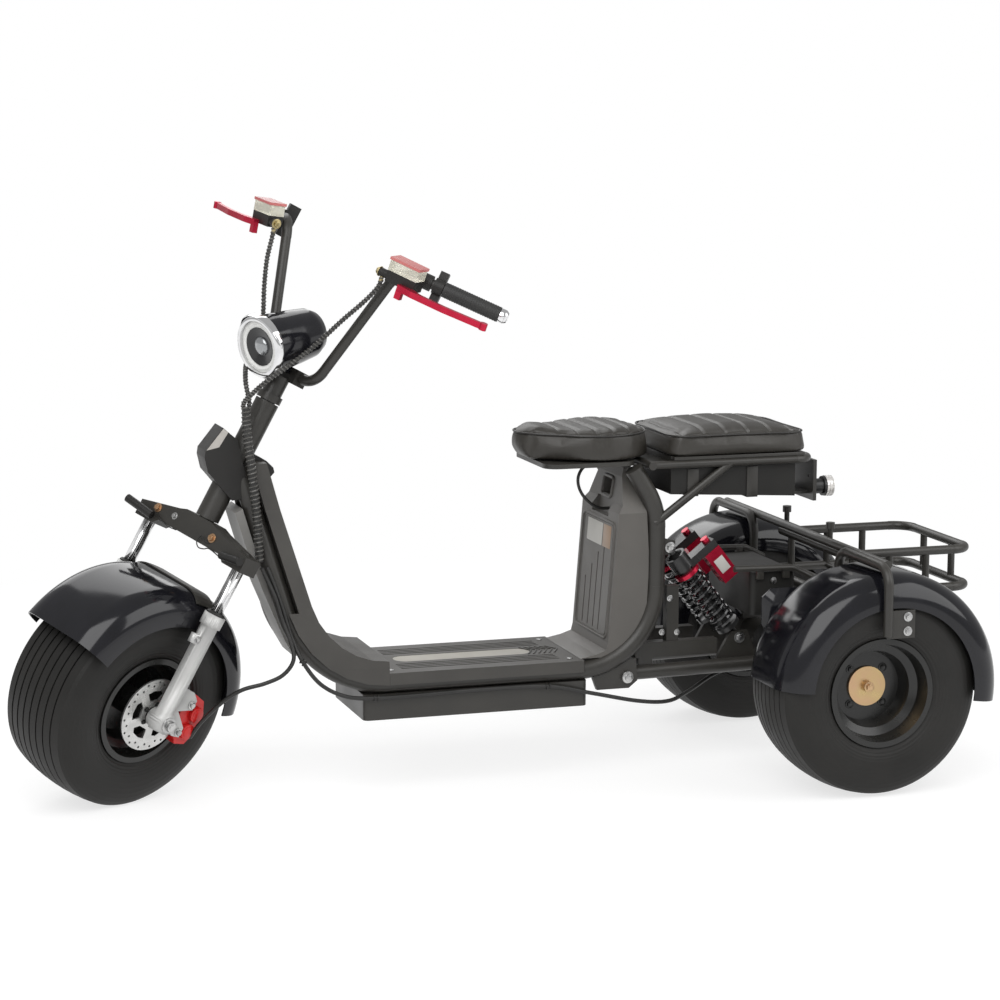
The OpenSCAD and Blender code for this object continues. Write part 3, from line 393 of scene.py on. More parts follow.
# Footboard, battery cover, head covers and switch pods: injection-moulded black plastic with a fine grain.
# The tray has a pale inlay strip set in its middle, raised bars behind it and four screws.
BOARD_TOP = 268.5
moulding = finish("moulded_black", (0.042, 0.0395, 0.0355), (0.052, 0.049, 0.044), 0.42, 0.54, grain=1400,
                  bump=0.3, dust=0.05)
cover_grey = finish("cover_grey", (0.085, 0.08, 0.073), (0.1, 0.094, 0.086), 0.4, 0.5, grain=1400, bump=0.3,
                    dust=0.04)
pod_black = finish("pod_black", (0.014, 0.0135, 0.0125), (0.02, 0.019, 0.018), 0.42, 0.54, grain=1400,
                   bump=0.25, shine=0.35)
dress(moulding, "footboard")
dress(cover_grey, "battery_cover")
dress(pod_black, "head_covers", "bar_controls", "turn_signals")


def slab(shape, corner, far, bevel=0.0006, place=None):
    """Adds a box between two corners, with its edges eased, and moves it to a place if one is given."""
    block = bmesh.new()
    bmesh.ops.create_cube(block, size=1.0, matrix=Matrix.Translation((corner + far) / 2)
                          @ Matrix.Diagonal((*(far - corner), 1)))
    soften(block, block.edges[:], bevel)
    if place is not None:
        bmesh.ops.transform(block, verts=block.verts, matrix=place)
    mesh = bpy.data.meshes.new("block")
    block.to_mesh(mesh)
    block.free()
    shape.from_mesh(mesh)
    bpy.data.meshes.remove(mesh)


def thicken(shape, faces, step):
    """Raises flat faces into a plate."""
    grown = bmesh.ops.extrude_face_region(shape, geom=faces)["geom"]
    bmesh.ops.translate(shape, vec=step, verts=[g for g in grown if isinstance(g, bmesh.types.BMVert)])


inlay_metal = finish("inlay_metal", (0.4, 0.38, 0.34), (0.34, 0.32, 0.28), 0.3, 0.42, grain=300, bump=0.08,
                     metal=0.4)
inlay = bmesh.new()
strip = bmesh.ops.create_circle(inlay, cap_ends=True, segments=48, radius=0.0282)["verts"]
for v in strip:
    v.co.x += 0.128 if v.co.x > 0 else -0.128
    v.co += at(795, 0, BOARD_TOP - 1.9)
thicken(inlay, inlay.faces[:], (0, 0, 0.0016))
piece("tray_inlay", inlay, inlay_metal, "frame")

bars = bmesh.new()
for x in range(572, 636, 12):
    for side in (1, -1):
        lean = Matrix.Identity(4)
        lean[0][1] = 0.5 * side
        slab(bars, Vector((0, min(0, side * 0.034), 0)), Vector((0.004, max(0, side * 0.034), 0.0018)),
             place=Matrix.Translation(at(x, 0, BOARD_TOP)) @ lean)
piece("tray_bars", bars, moulding, "frame")

screws = bmesh.new()
for x, y in ((580, 104), (580, -104), (985, 104), (985, -104)):
    disc(screws, at(x, y, BOARD_TOP), UP, 0.0065, 0.0016, sides=20)
piece("tray_screws", screws, zinc, "frame")

# Floor box, seat box, rear case and motor: pressed steel and cast housings in matt black.
# Two straps hold the seat box, and small hangers hold the rear case to its bars.
case_black = finish("case_black", (0.01, 0.0095, 0.0085), (0.015, 0.0145, 0.013), 0.48, 0.6, grain=600,
                    bump=0.2, dust=0.03, shine=0.35)
dress(case_black, "underseat_box", "drive_motor", "rear_case")
dress(frame_paint, "underfloor_box")
straps = bmesh.new()
for x, low in ((150, 611), (290, 618.5)):
    for y in (116.2, -118.7):
        slab(straps, at(x, y, low - 3), at(x + 26, y + 2.5, 676))
    slab(straps, at(x, -118.7, low - 3), at(x + 26, 118.7, low - 0.3))
piece("seat_box_straps", straps, frame_paint, "frame")

hangers = bmesh.new()
for side in (1, -1):
    for x in (78, 140):
        near, far = sorted((side * 127.6, side * 139))
        slab(hangers, at(x, near, 426), at(x + 16, far, 451))
piece("case_hangers", hangers, frame_paint, "frame")

# Battery cover's mouldings: a raised bead frames the front face, with a finer line inside it.
# A thicker lip runs round the hole of its handle.
FACE = (496, 300), (474, 584)
HANDLE = (462, 600), (452, 658)


def face_loop(half, low, high, corner, edge_low, edge_high):
    """A round-cornered loop on a leaning face that runs from one (x, z) edge to another."""
    out = []
    for y, z, turn in ((half, high, 0), (-half, high, 90), (-half, low, 180), (half, low, 270)):
        for k in range(7):
            a = math.radians(turn + 15 * k)
            py = y - math.copysign(corner, y) + corner * math.cos(a)
            pz = z + (corner if z == low else -corner) + corner * math.sin(a)
            t = (pz - edge_low[1]) / (edge_high[1] - edge_low[1])
            out.append(at(edge_low[0] + (edge_high[0] - edge_low[0]) * t, py, pz))
    return out


bead = bmesh.new()
tube(bead, face_loop(101, 306, 560, 16, *FACE), 0.0028, 3, closed=True)
tube(bead, face_loop(30, 607, 651, 9, *HANDLE), 0.004, 3, closed=True)
tube(bead, face_loop(92, 312, 554, 12, *FACE), 0.0012, 2, closed=True)
piece("cover_beads", bead, cover_grey, "frame")

# Battery cover's bare sticker places: two plain films on the front face.
# One is pale and one is tan, and neither carries any print.
sticker_film = finish("sticker_film", (0.5, 0.49, 0.46), (0.44, 0.43, 0.4), 0.35, 0.45, grain=200, bump=0.03)
tan_film = finish("tan_film", (0.3, 0.2, 0.13), (0.26, 0.17, 0.11), 0.35, 0.45, grain=200, bump=0.03)
on_face = Matrix.Translation(at(478.3, 0, 525)) @ Matrix.Rotation(-math.atan2(22, 284), 4, "Y")
for name, low, high, film_finish in (("pale_sticker_place", -70, 25, sticker_film),
                                     ("tan_sticker_place", 30, 78, tan_film)):
    sticker = bmesh.new()
    slab(sticker, Vector((0, low / 1000, -0.025)), Vector((0.0006, high / 1000, 0.025)), bevel=0.0002,
         place=on_face)
    piece(name, sticker, film_finish, "frame")

# Leg shield: a pale grey plastic strip in front of the two down tubes.
# Its face is lightly grained and holds a little dust.
shield_grey = finish("shield_grey", (0.21, 0.205, 0.195), (0.17, 0.165, 0.155), 0.4, 0.5, grain=800, bump=0.1,
                     dust=0.05)
dress(shield_grey, "leg_shield")

# Fenders and headlight bowl: gloss black moulded shells with a clear, wet-looking surface.
# Smooth copies stand for the solids, so that reflections run on without facets.
fender_gloss = finish("fender_gloss", (0.006, 0.006, 0.008), (0.009, 0.009, 0.012), 0.09, 0.15, grain=60,
                      bump=0.02, shine=0.45)


def smooth_skin(name, node, material, body, sharp=35):
    """Stands a smooth-shaded copy of a solid in its place, with the same form."""
    shell = bmesh.new()
    shell.from_mesh(nodes[node].data)
    bmesh.ops.remove_doubles(shell, verts=shell.verts, dist=0.00002)
    bmesh.ops.dissolve_degenerate(shell, edges=shell.edges, dist=0.00001)
    made = piece(name, shell, material, body, sharp)
    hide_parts(node)


smooth_skin("rear_fender_shells", "rear_fenders", fender_gloss, "frame")
smooth_skin("front_fender_shell", "front_fender", fender_gloss, "steering")
smooth_skin("headlight_bowl", "headlight_shell", fender_gloss, "steering")

# Fork: cast lower legs in silver paint, hard-chromed tubes and black rubber dust seals.
# Bright bolts close the axle, the brace and the caliper. The headlight's bezel has the same chrome.
fork_silver = finish("fork_silver", (0.56, 0.56, 0.55), (0.5, 0.5, 0.49), 0.34, 0.46, grain=500, bump=0.15,
                     metal=0.25, dust=0.03)
chrome = finish("chrome", (0.82, 0.82, 0.82), (0.76, 0.76, 0.77), 0.05, 0.1, grain=100, bump=0.01, patch=40,
                metal=1.0)
smooth_skin("fork_legs", "fork_lowers", fork_silver, "steering")
smooth_skin("fork_stanchions", "fork_tubes", chrome, "steering")
smooth_skin("bezel", "headlight_bezel", chrome, "steering")
up_fork = fork_way(0, 0, 1)
out_fork = fork_way(0, 1, 0)
ahead_fork = fork_way(1, 0, 0)


def ring(shape, place, way, profile, sides=48, turn=2 * math.pi, start=None):
    """Spins a profile of (radius, along) points about a line; a full turn closes on itself."""
    if start is None:
        start = way.orthogonal().normalized()
    line = [shape.verts.new(place + start * r + way * a) for r, a in profile]
    edges = [shape.edges.new(pair) for pair in zip(line, line[1:] + line[:1])]
    bmesh.ops.spin(shape, geom=line + edges, cent=place, axis=way, angle=turn, steps=sides,
                   use_merge=turn > 6.28, use_normal_flip=False)


seals = bmesh.new()
for side in (1, -1):
    ring(seals, on_fork(0, side * 145, 247), up_fork,
         [(0.0139, 0), (0.0205, 0), (0.0205, 0.003), (0.0175, 0.0065), (0.0139, 0.0065)])
piece("dust_seals", seals, hose_rubber, "steering")

fork_bolts = bmesh.new()
for side in (1, -1):
    way = out_fork * side
    bolt(fork_bolts, on_fork(0, side * 169.2, 0), way, 0.012)
    bolt(fork_bolts, on_fork(22, side * 151.3, 186), way, 0.0055)
for f, a in ((-68, 52), (-68, -12)):
    bolt(fork_bolts, on_fork(f, 141.3, a), out_fork, 0.0065)
piece("fork_bolts", fork_bolts, zinc, "steering", sharp=25)

# Front caliper, levers and shock reservoirs: red paint on the cast caliper, red anodising on the rest.
# The caliper has two round housings for its pistons.
red_metal = finish("red_anodised", (0.5, 0.01, 0.04), (0.58, 0.018, 0.055), 0.16, 0.26, grain=900, bump=0.06,
                   patch=30, metal=0.65)
red_paint = finish("caliper_red", (0.55, 0.012, 0.012), (0.62, 0.02, 0.018), 0.25, 0.36, grain=500, bump=0.12)
dress(red_paint, "front_caliper")
dress(red_metal, "brake_levers", "shock_reservoirs")
housings = bmesh.new()
for f, a in ((-104, 34), (-102, -6)):
    disc(housings, on_fork(f, 128.5, a), out_fork, 0.0175, 0.009, sides=40, bevel=0.002)
    disc(housings, on_fork(f, 137.5, a), out_fork, 0.0125, 0.0012, sides=32, bevel=0.0004)
piece("piston_housings", housings, red_paint, "steering")

# Seats: black-brown leatherette over foam. The cover swells under its own air in a short cloth run,
# then the sewn channels across the top are pressed in and a welt runs round the edge.
# Battens under the passenger's cushion rest on its rail.
VOXEL = 0.005
SHRINK = 0.005
AIR = 4
SWELL = 0.006
CHANNEL_WIDE = 0.0038
CHANNEL_DEEP = 0.0036
SEAM_WIDE = 0.003
SEAM_DEEP = 0.0014
SPOKES = 72
SPOKE_TURN = 5
hide, given, wanted = make_group(
    "leather_grain", [("Colour", COLOUR, BLACK), ("Worn", COLOUR, BLACK), ("Size", NUMBER, 420)],
    [("Colour", COLOUR), ("Roughness", NUMBER), ("Height", NUMBER)])
where = add(hide, "TexCoord").outputs["Object"]
pebble = add(hide, "TexVoronoi")
pebble.feature = "DISTANCE_TO_EDGE"
crease = add(hide, "TexNoise", [("Scale", 60), ("Detail", 6)])
wear = add(hide, "TexNoise", [("Scale", 7)])
shade = add(hide, "Mix")
gloss = add(hide, "MapRange", [("To Min", 0.34), ("To Max", 0.5)])
total = add(hide, "Math", [(1, 0.35)], operation="MULTIPLY_ADD")
wire(hide, (where, pebble.inputs["Vector"]), (given["Size"], pebble.inputs["Scale"]),
     (where, crease.inputs["Vector"]), (where, wear.inputs["Vector"]), (wear.outputs["Fac"], shade.inputs[0]),
     (given["Colour"], shade.inputs[6]), (given["Worn"], shade.inputs[7]),
     (wear.outputs["Fac"], gloss.inputs["Value"]), (crease.outputs["Fac"], total.inputs[0]),
     (pebble.outputs["Distance"], total.inputs[2]), (shade.outputs[2], wanted["Colour"]),
     (gloss.outputs["Result"], wanted["Roughness"]), (total.outputs[0], wanted["Height"]))


def leather(name, colour, worn):
    material, tree, shader = blank(name)
    surface = add(tree, "Group", [("Colour", (*colour, 1)), ("Worn", (*worn, 1))], group=hide)
    lay(tree, shader, surface.outputs["Colour"], surface, 0.35, 0.0006)
    return material


seat_cover = leather("seat_leatherette", (0.026, 0.0235, 0.0195), (0.036, 0.0325, 0.0275))
welt_cover = leather("welt_leatherette", (0.016, 0.0145, 0.0125), (0.022, 0.02, 0.0175))


def spoke(arm):
    """Which spoke of the outline an arm from the seat's middle lies on, with its fraction."""
    return math.degrees(math.atan2(arm.y, arm.x)) / SPOKE_TURN


def eased(t):
    t = min(1.0, max(0.0, t))
    return t * t * (3 - 2 * t)


def cushion(node, name, lines, welt, crown, lift):
    """A padded copy of a seat's solid, raised by lift, with channels at lines and a welt at a height."""
    low, high = (Vector(corner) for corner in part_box(node))
    middle = (low + high) / 2
    shape = bmesh.new()
    shape.from_mesh(nodes[node].data)
    bmesh.ops.remove_doubles(shape, verts=shape.verts, dist=0.00005)
    for v in shape.verts:
        for k in (0, 1, 2):
            v.co[k] = middle[k] + (v.co[k] - middle[k]) * (1 - SHRINK / (high[k] - low[k]))
    mesh = bpy.data.meshes.new(name)
    shape.to_mesh(mesh)
    shape.free()
    made = bpy.data.objects.new(name, mesh)
    scene.collection.objects.link(made)
    blocks = made.modifiers.new("voxels", "REMESH")
    blocks.mode = "VOXEL"
    blocks.voxel_size = VOXEL
    plain = bpy.data.meshes.new_from_object(made.evaluated_get(bpy.context.evaluated_depsgraph_get()))
    made.modifiers.clear()
    made.data = plain
    rest = [v.co.copy() for v in plain.vertices]
    held = made.vertex_groups.new(name="held")
    held.add([i for i, p in enumerate(rest) if p.z < low.z + 0.01], 1.0, "REPLACE")
    air = made.modifiers.new("air", "CLOTH")
    air.settings.use_pressure = True
    air.settings.uniform_pressure_force = AIR
    air.settings.effector_weights.gravity = 0
    air.settings.vertex_group_mass = "held"
    for step in range(1, 21):
        scene.frame_set(step)
    swollen = bpy.data.meshes.new_from_object(made.evaluated_get(bpy.context.evaluated_depsgraph_get()))
    made.modifiers.clear()
    for v, p, q in zip(plain.vertices, rest, swollen.vertices):
        move = q.co - p
        v.co = p + move * min(1.0, SWELL / max(move.length, 1e-9))
    scene.frame_set(1)
    shape = bmesh.new()
    shape.from_mesh(plain)
    for turn in range(9):
        if turn == 6:
            bmesh.ops.subdivide_edges(shape, edges=shape.edges, cuts=1, use_grid_fill=True)
        bmesh.ops.smooth_vert(shape, verts=shape.verts, factor=0.5, use_axis_x=True, use_axis_y=True,
                              use_axis_z=True)
    for v in shape.verts:
        v.co.z += lift(v.co.x) * min(1.0, max(0.0, (v.co.z - low.z - 0.006) / 0.034))
    # the outline at the welt, as a reach along every spoke
    reach = [0.0] * SPOKES
    for v in shape.verts:
        if abs(v.co.z - welt(v.co.x)) < 0.005:
            arm = (v.co - middle).xy
            step = round(spoke(arm)) % SPOKES
            reach[step] = max(reach[step], arm.length)
    reach = [(reach[k - 1] + 2 * reach[k] + reach[(k + 1) % SPOKES]) / 4 for k in range(SPOKES)]
    # the top falls towards its edge, so the cushion is crowned
    for v in shape.verts:
        rise = v.co.z - welt(v.co.x) - 0.002
        if rise > 0:
            arm = (v.co - middle).xy
            part = spoke(arm) % SPOKES
            edge = reach[int(part)] + (reach[(int(part) + 1) % SPOKES] - reach[int(part)]) * (part % 1)
            v.co.z -= crown * rise * eased((arm.length / edge - 0.5) / 0.5)
    shape.normal_update()
    for v in shape.verts:
        if v.normal.z > 0.25:
            deep = sum(math.exp(-((v.co.x - x) / CHANNEL_WIDE) ** 2) for x in lines)
            v.co.z -= CHANNEL_DEEP * deep * min(1.0, (v.normal.z - 0.25) / 0.5)
        sewn = math.exp(-((v.co.z - welt(v.co.x)) / SEAM_WIDE) ** 2)
        if abs(v.normal.z) < 0.95:
            v.co -= Vector((v.normal.x, v.normal.y, 0)) * SEAM_DEEP * sewn
    shape.to_mesh(plain)
    shape.free()
    plain.materials.clear()
    plain.materials.append(seat_cover)
    plain.shade_smooth()
    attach(made, "frame")
    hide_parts(node)
    loop = []
    for k in range(SPOKES):
        turn = math.radians(SPOKE_TURN * k)
        x, y = middle.x + reach[k] * math.cos(turn), middle.y + reach[k] * math.sin(turn)
        loop.append(Vector((x, y, welt(x))))
    edge = bmesh.new()
    tube(edge, smooth_route(loop + loop[:1], 3)[:-1], 0.0022, 2, closed=True)
    piece(name + "_welt", edge, welt_cover, "frame")


board = bmesh.new()
for y in (-1, 1):
    slab(board, at(44, min(y * 108, y * 131), 698.2), at(352, max(y * 108, y * 131), 705.5), bevel=0.001)
for x in (44, 200, 330):
    slab(board, at(x, -110, 691.8), at(x + 22, 110, 705.5), bevel=0.001)
piece("cushion_battens", board, frame_paint, "frame")


def nose_lift(x):
    """The filling stands up at the saddle's nose, so that its top runs almost level."""
    return 0.02 * eased((x - at(560, 0, 0).x) / 0.11)


cushion("driver_seat", "driver_saddle", [at(x, 0, 0).x for x in (412, 449, 486, 523, 560, 597)],
        lambda x: 0.756 + 0.1 * nose_lift(x), 0.15, nose_lift)
cushion("passenger_seat", "passenger_cushion", [at(x, 0, 0).x for x in (76, 128, 180, 232, 284, 330)],
        lambda x: 0.7505, 0.6, lambda x: 0.0)

# Tyres: plain black rubber with a ribbed tread.
# Faint moulding rings run round the sidewalls.
REAR_Y = 362
REAR_Z = 229
rings, given, wanted = make_group(
    "tyre_rings", [("Centre", VECTOR, (0, 0, 0)), ("Axle", VECTOR, (0, 1, 0))], [("Height", NUMBER)])
where = add(rings, "TexCoord").outputs["Object"]
shift = add(rings, "VectorMath", operation="SUBTRACT")
arm = add(rings, "VectorMath", operation="CROSS_PRODUCT")
reach = add(rings, "VectorMath", operation="LENGTH")
wave = add(rings, "Math", [(1, 900)], operation="MULTIPLY")
crest = add(rings, "Math", operation="SINE")
band = add(rings, "MapRange", [("From Min", 0.15), ("From Max", 0.135)])
inside = add(rings, "Math", operation="MULTIPLY")
wire(rings, (where, shift.inputs[0]), (given["Centre"], shift.inputs[1]),
     (shift.outputs["Vector"], arm.inputs[0]), (given["Axle"], arm.inputs[1]),
     (arm.outputs["Vector"], reach.inputs[0]), (reach.outputs["Value"], wave.inputs[0]),
     (wave.outputs[0], crest.inputs[0]), (reach.outputs["Value"], band.inputs["Value"]),
     (crest.outputs[0], inside.inputs[0]), (band.outputs["Result"], inside.inputs[1]),
     (inside.outputs[0], wanted["Height"]))


def rubber(name, centre, axle):
    """Tyre rubber, with its rings laid about the wheel's own axle."""
    material = finish(name, (0.012, 0.0115, 0.0105), (0.02, 0.019, 0.0175), 0.5, 0.64, grain=700, bump=0.25,
                      shine=0.3)
    tree = material.node_tree
    marks = add(tree, "Group", [("Centre", centre), ("Axle", axle)], group=rings)
    fine = tree.nodes["Bump"]
    raised = add(tree, "Bump", [("Strength", 0.5), ("Distance", 0.0006)])
    wire(tree, (marks.outputs["Height"], raised.inputs["Height"]),
         (raised.outputs["Normal"], fine.inputs["Normal"]))
    return material


dress(rubber("front_rubber", on_fork(0, 0, 0), out_fork), "front_tyre")
dress(rubber("left_rubber", at(0, REAR_Y, REAR_Z), LEFT), "rear_tyre_left")
dress(rubber("right_rubber", at(0, -REAR_Y, REAR_Z), LEFT), "rear_tyre_right")

# Rims and hubs: pressed steel rims in semi-gloss black.
# Four bolts and a middle nut hold each yellow zinc hub plate.
rim_black = finish("rim_black", (0.009, 0.009, 0.0085), (0.014, 0.014, 0.013), 0.2, 0.3, grain=400, bump=0.08,
                   dust=0.03)
hub_zinc = finish("hub_zinc", (0.58, 0.43, 0.2), (0.62, 0.4, 0.24), 0.26, 0.36, grain=900, bump=0.06,
                  patch=22, metal=0.8)
dress(rim_black, "front_rim", "rear_rim_left", "rear_rim_right")
dress(hub_zinc, "hub_disc_left", "hub_disc_right")
for side, body in ((1, "rear_wheel_left"), (-1, "rear_wheel_right")):
    hub = bmesh.new()
    for k in range(4):
        turn = math.radians(45 + 90 * k)
        place = at(54 * math.cos(turn), side * (REAR_Y + 14.2), REAR_Z + 54 * math.sin(turn))
        bolt(hub, place, LEFT * side, 0.0065)
    piece(body + "_bolts", hub, rim_black, body, sharp=25)
    nut = bmesh.new()
    bolt(nut, at(0, side * (REAR_Y + 30.2), REAR_Z), LEFT * side, 0.008)
    piece(body + "_nut", nut, hub_zinc, body, sharp=25)

# Front disc: a drilled stainless plate.
# Five small black bolts hold it to the hub.
disc_steel = finish("disc_steel", (0.62, 0.62, 0.61), (0.54, 0.54, 0.53), 0.24, 0.34, grain=1200, bump=0.1,
                    patch=50, metal=0.9)
dress(disc_steel, "front_disc")
disc_bolts = bmesh.new()
for k in range(5):
    turn = 2 * math.pi * k / 5 + 0.3
    bolt(disc_bolts, on_fork(24 * math.cos(turn), 116.2, 24 * math.sin(turn)), out_fork, 0.004)
piece("disc_bolts", disc_bolts, rim_black, "front_wheel", sharp=25)

# Shock absorbers: black bodies and gloss springs between the frame's plates and the arms.
# Each side reservoir has a bare label place on its outer face.
shock_black = finish("shock_black", (0.016, 0.016, 0.016), (0.024, 0.024, 0.024), 0.22, 0.34, grain=700,
                     bump=0.06)
spring_gloss = finish("spring_gloss", (0.008, 0.008, 0.009), (0.014, 0.014, 0.015), 0.1, 0.16, grain=100,
                      bump=0.02, coat=0.6)
dress(shock_black, "shock_bodies")
dress(spring_gloss, "shock_springs")
shock_run = SHOCK_TOP[0] - SHOCK_FOOT[0], SHOCK_TOP[1] - SHOCK_FOOT[1]
shock_tilt = math.atan2(*shock_run)


def on_shock(x, y, z, side):
    return at(SHOCK_FOOT[0] + math.cos(shock_tilt) * x + math.sin(shock_tilt) * z, side * (57 + y),
              SHOCK_FOOT[1] - math.sin(shock_tilt) * x + math.cos(shock_tilt) * z)


labels = bmesh.new()
for side in (1, -1):
    inner, outer = sorted((0, side * 0.0005))
    place = Matrix.Translation(on_shock(-70, 19.1, math.hypot(*shock_run) - 112, side))
    slab(labels, Vector((-0.012, inner, -0.018)), Vector((0.012, outer, 0.018)), bevel=0.0001,
         place=place @ Matrix.Rotation(shock_tilt, 4, "Y"))
piece("reservoir_labels", labels, sticker_film, "frame")

# Headlight: a chromed bezel with a crescent visor, a white light ring and a dark bowl.
# A round projector lens sits in the middle of the bowl.
LAMP_TILT = math.radians(33.8)
VISOR_ENDS = 0.26
lamp_way = fork_way(math.cos(LAMP_TILT), 0, -math.sin(LAMP_TILT))
lamp_up = fork_way(math.sin(LAMP_TILT), 0, math.cos(LAMP_TILT))
lamp_at = on_fork(40, 0, 824)
lamp_floor = lamp_at + lamp_way * 0.0626
visor_at = lamp_at + lamp_way * 0.066
ring_white = finish("light_ring", (0.8, 0.8, 0.78), (0.74, 0.74, 0.72), 0.25, 0.35, grain=300, bump=0.04)
bowl_black = finish("lamp_bowl", (0.012, 0.012, 0.013), (0.02, 0.02, 0.02), 0.12, 0.2, grain=200, bump=0.03)
glass = finish("projector_glass", (0.3, 0.31, 0.32), (0.33, 0.34, 0.35), 0.06, 0.11, grain=300, bump=0.02,
               metal=0.6, coat=1.0)


def close(shape):
    bmesh.ops.holes_fill(shape, edges=[e for e in shape.edges if e.is_boundary], sides=0)


glow = bmesh.new()
ring(glow, lamp_floor, lamp_way,
     [(0.041, 0), (0.0556, 0), (0.0556, 0.006), (0.0485, 0.0085), (0.041, 0.006)], 64)
glow = piece("light_ring", glow, ring_white, "steering")
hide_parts("headlight_lens")
bowl = bmesh.new()
ring(bowl, lamp_floor, lamp_way, [(0.0205, 0), (0.0408, 0), (0.0408, 0.0075), (0.0205, 0.002)], 64)
piece("lamp_bowl", bowl, bowl_black, "steering")
lens_bead = bmesh.new()
bmesh.ops.create_uvsphere(lens_bead, u_segments=40, v_segments=20, radius=0.0202)
bmesh.ops.bisect_plane(lens_bead, geom=lens_bead.verts[:] + lens_bead.edges[:] + lens_bead.faces[:],
                       dist=1e-6, plane_co=(0, 0, 0), plane_no=UP, clear_inner=True)
close(lens_bead)
bmesh.ops.scale(lens_bead, vec=(1, 1, 0.5), verts=lens_bead.verts)
bmesh.ops.transform(lens_bead, verts=lens_bead.verts, matrix=Matrix.Translation(lamp_at + lamp_way * 0.063)
                    @ UP.rotation_difference(lamp_way).to_matrix().to_4x4())
piece("projector_lens", lens_bead, glass, "steering")
visor = bmesh.new()
visor_start = Matrix.Rotation(math.radians(15), 3, lamp_way) @ -lamp_way.cross(lamp_up).normalized()
ring(visor, visor_at, lamp_way,
     [(0.0684, -0.004), (0.0702, -0.003), (0.0706, 0.01), (0.0692, 0.0175), (0.0682, 0.0172),
      (0.0688, 0.009)], 40, turn=math.radians(150), start=visor_start)
for vert in visor.verts:
    # the hood reaches furthest at the top and runs out into the bezel at both sides
    arm = vert.co - visor_at
    reach = arm.dot(lamp_way)
    height = (arm - lamp_way * reach).normalized().dot(lamp_up)
    vert.co -= lamp_way * max(reach, 0) * (1 - max(height - VISOR_ENDS, 0) / (1 - VISOR_ENDS))
close(visor)
piece("lamp_visor", visor, chrome, "steering")

# Bar ends: rubber grips with ribs and chromed end caps.
# Clear fluid cups with red lids stand on the lever perches, and brass bolts hold the hoses.
PERCH_TILT = math.radians(20)
PERCH_OUT = math.radians(15.5)
grip_rubber = finish("grip_rubber", (0.018, 0.018, 0.018), (0.026, 0.026, 0.025), 0.5, 0.62, grain=500,
                     bump=0.5)
lid_red = finish("lid_red", (0.5, 0.12, 0.12), (0.56, 0.17, 0.16), 0.22, 0.32, grain=300, bump=0.04, coat=0.3)
cup = finish("clear_cup", (0.86, 0.84, 0.74), (0.8, 0.78, 0.67), 0.09, 0.16, grain=300, bump=0.03, patch=40)
wall = cup.node_tree.nodes["Principled BSDF"]
wall.inputs["Transmission Weight"].default_value = 0.45
wall.inputs["IOR"].default_value = 1.2
brass = finish("hose_brass", (0.42, 0.34, 0.16), (0.5, 0.42, 0.24), 0.24, 0.36, grain=600, bump=0.06,
               patch=60, metal=1.0)
dress(grip_rubber, "grips")
dress(lid_red, "reservoir_lids")
dress(cup, "fluid_reservoirs")


def on_perch(x, y, z, side):
    f = math.cos(PERCH_TILT) * x + math.sin(PERCH_TILT) * z
    up = -math.sin(PERCH_TILT) * x + math.cos(PERCH_TILT) * z
    return on_fork(24 + math.cos(PERCH_OUT) * f - math.sin(PERCH_OUT) * y,
                   side * (212 + math.sin(PERCH_OUT) * f + math.cos(PERCH_OUT) * y), 1056 + up)


ribs = bmesh.new()
caps = bmesh.new()
fittings = bmesh.new()
for side in (1, -1):
    end = Vector((-118, side * 362, 1070))
    along = (end - Vector((14, side * 175, 1060))).normalized()
    aim = (on_fork(*end) - on_fork(*(end - along * 100))).normalized()
    for k in range(22):
        ring(ribs, on_fork(*(end - along * (6 + 5.4 * k))), aim,
             [(0.0157, -0.0013), (0.0166, -0.0008), (0.0166, 0.0008), (0.0157, 0.0013)], 28)
    start = on_fork(*(end - along * 1.6))
    disc(caps, start, aim, 0.0152, 0.012, sides=32, bevel=0.001)
    disc(caps, start + aim * 0.012, aim, 0.0148, 0.006, sides=32, bevel=0.001, top=0.0105)
    inner = (on_perch(20, -60, -13, side) - on_perch(20, -50, -13, side)).normalized()
    bolt(fittings, on_perch(20, -54, -13, side), inner, 0.0075)
    down = (on_perch(20, -47, -40, side) - on_perch(20, -47, -20, side)).normalized()
    disc(fittings, on_perch(20, -47, -20, side), down, 0.0046, 0.014, sides=20)
bolt(fittings, on_fork(-112, 128.6, -14), out_fork, 0.0065)
piece("grip_ribs", ribs, grip_rubber, "steering")
piece("bar_end_caps", caps, chrome, "steering")
piece("hose_fittings", fittings, brass, "steering", sharp=25)

# Fork clamp's fixings: two copper-coated bolts and a bright one.
# They sit on the clamp's front face.
copper = finish("copper_coat", (0.5, 0.3, 0.16), (0.58, 0.38, 0.24), 0.26, 0.4, grain=600, bump=0.06,
                patch=60, metal=0.9)
clamp_bolts = bmesh.new()
for v in (-117, 61):
    bolt(clamp_bolts, on_fork(24, v, 384), ahead_fork, 0.007)
piece("clamp_bolts", clamp_bolts, copper, "steering", sharp=25)
bright_bolt = bmesh.new()
bolt(bright_bolt, on_fork(24, -63, 386), ahead_fork, 0.0055)
piece("clamp_bright_bolt", bright_bolt, zinc, "steering", sharp=25)

# Steering head pod: a black moulded cover on the head tube.
# A pale leaf-shaped lamp window is let into each side near its top.
LEAF = (79, 542), (72.5, 575), (68, 599), (55, 597), (58, 560)
window_film = finish("pod_window", (0.5, 0.47, 0.44), (0.42, 0.4, 0.37), 0.3, 0.4, grain=300, bump=0.04)
windows = bmesh.new()
for side in (1, -1):
    face = windows.faces.new([windows.verts.new(on_head(f, side * 39.8, a)) for f, a in LEAF])
    thicken(windows, [face], (0, side * 0.0008, 0))
piece("pod_windows", windows, window_film, "frame")

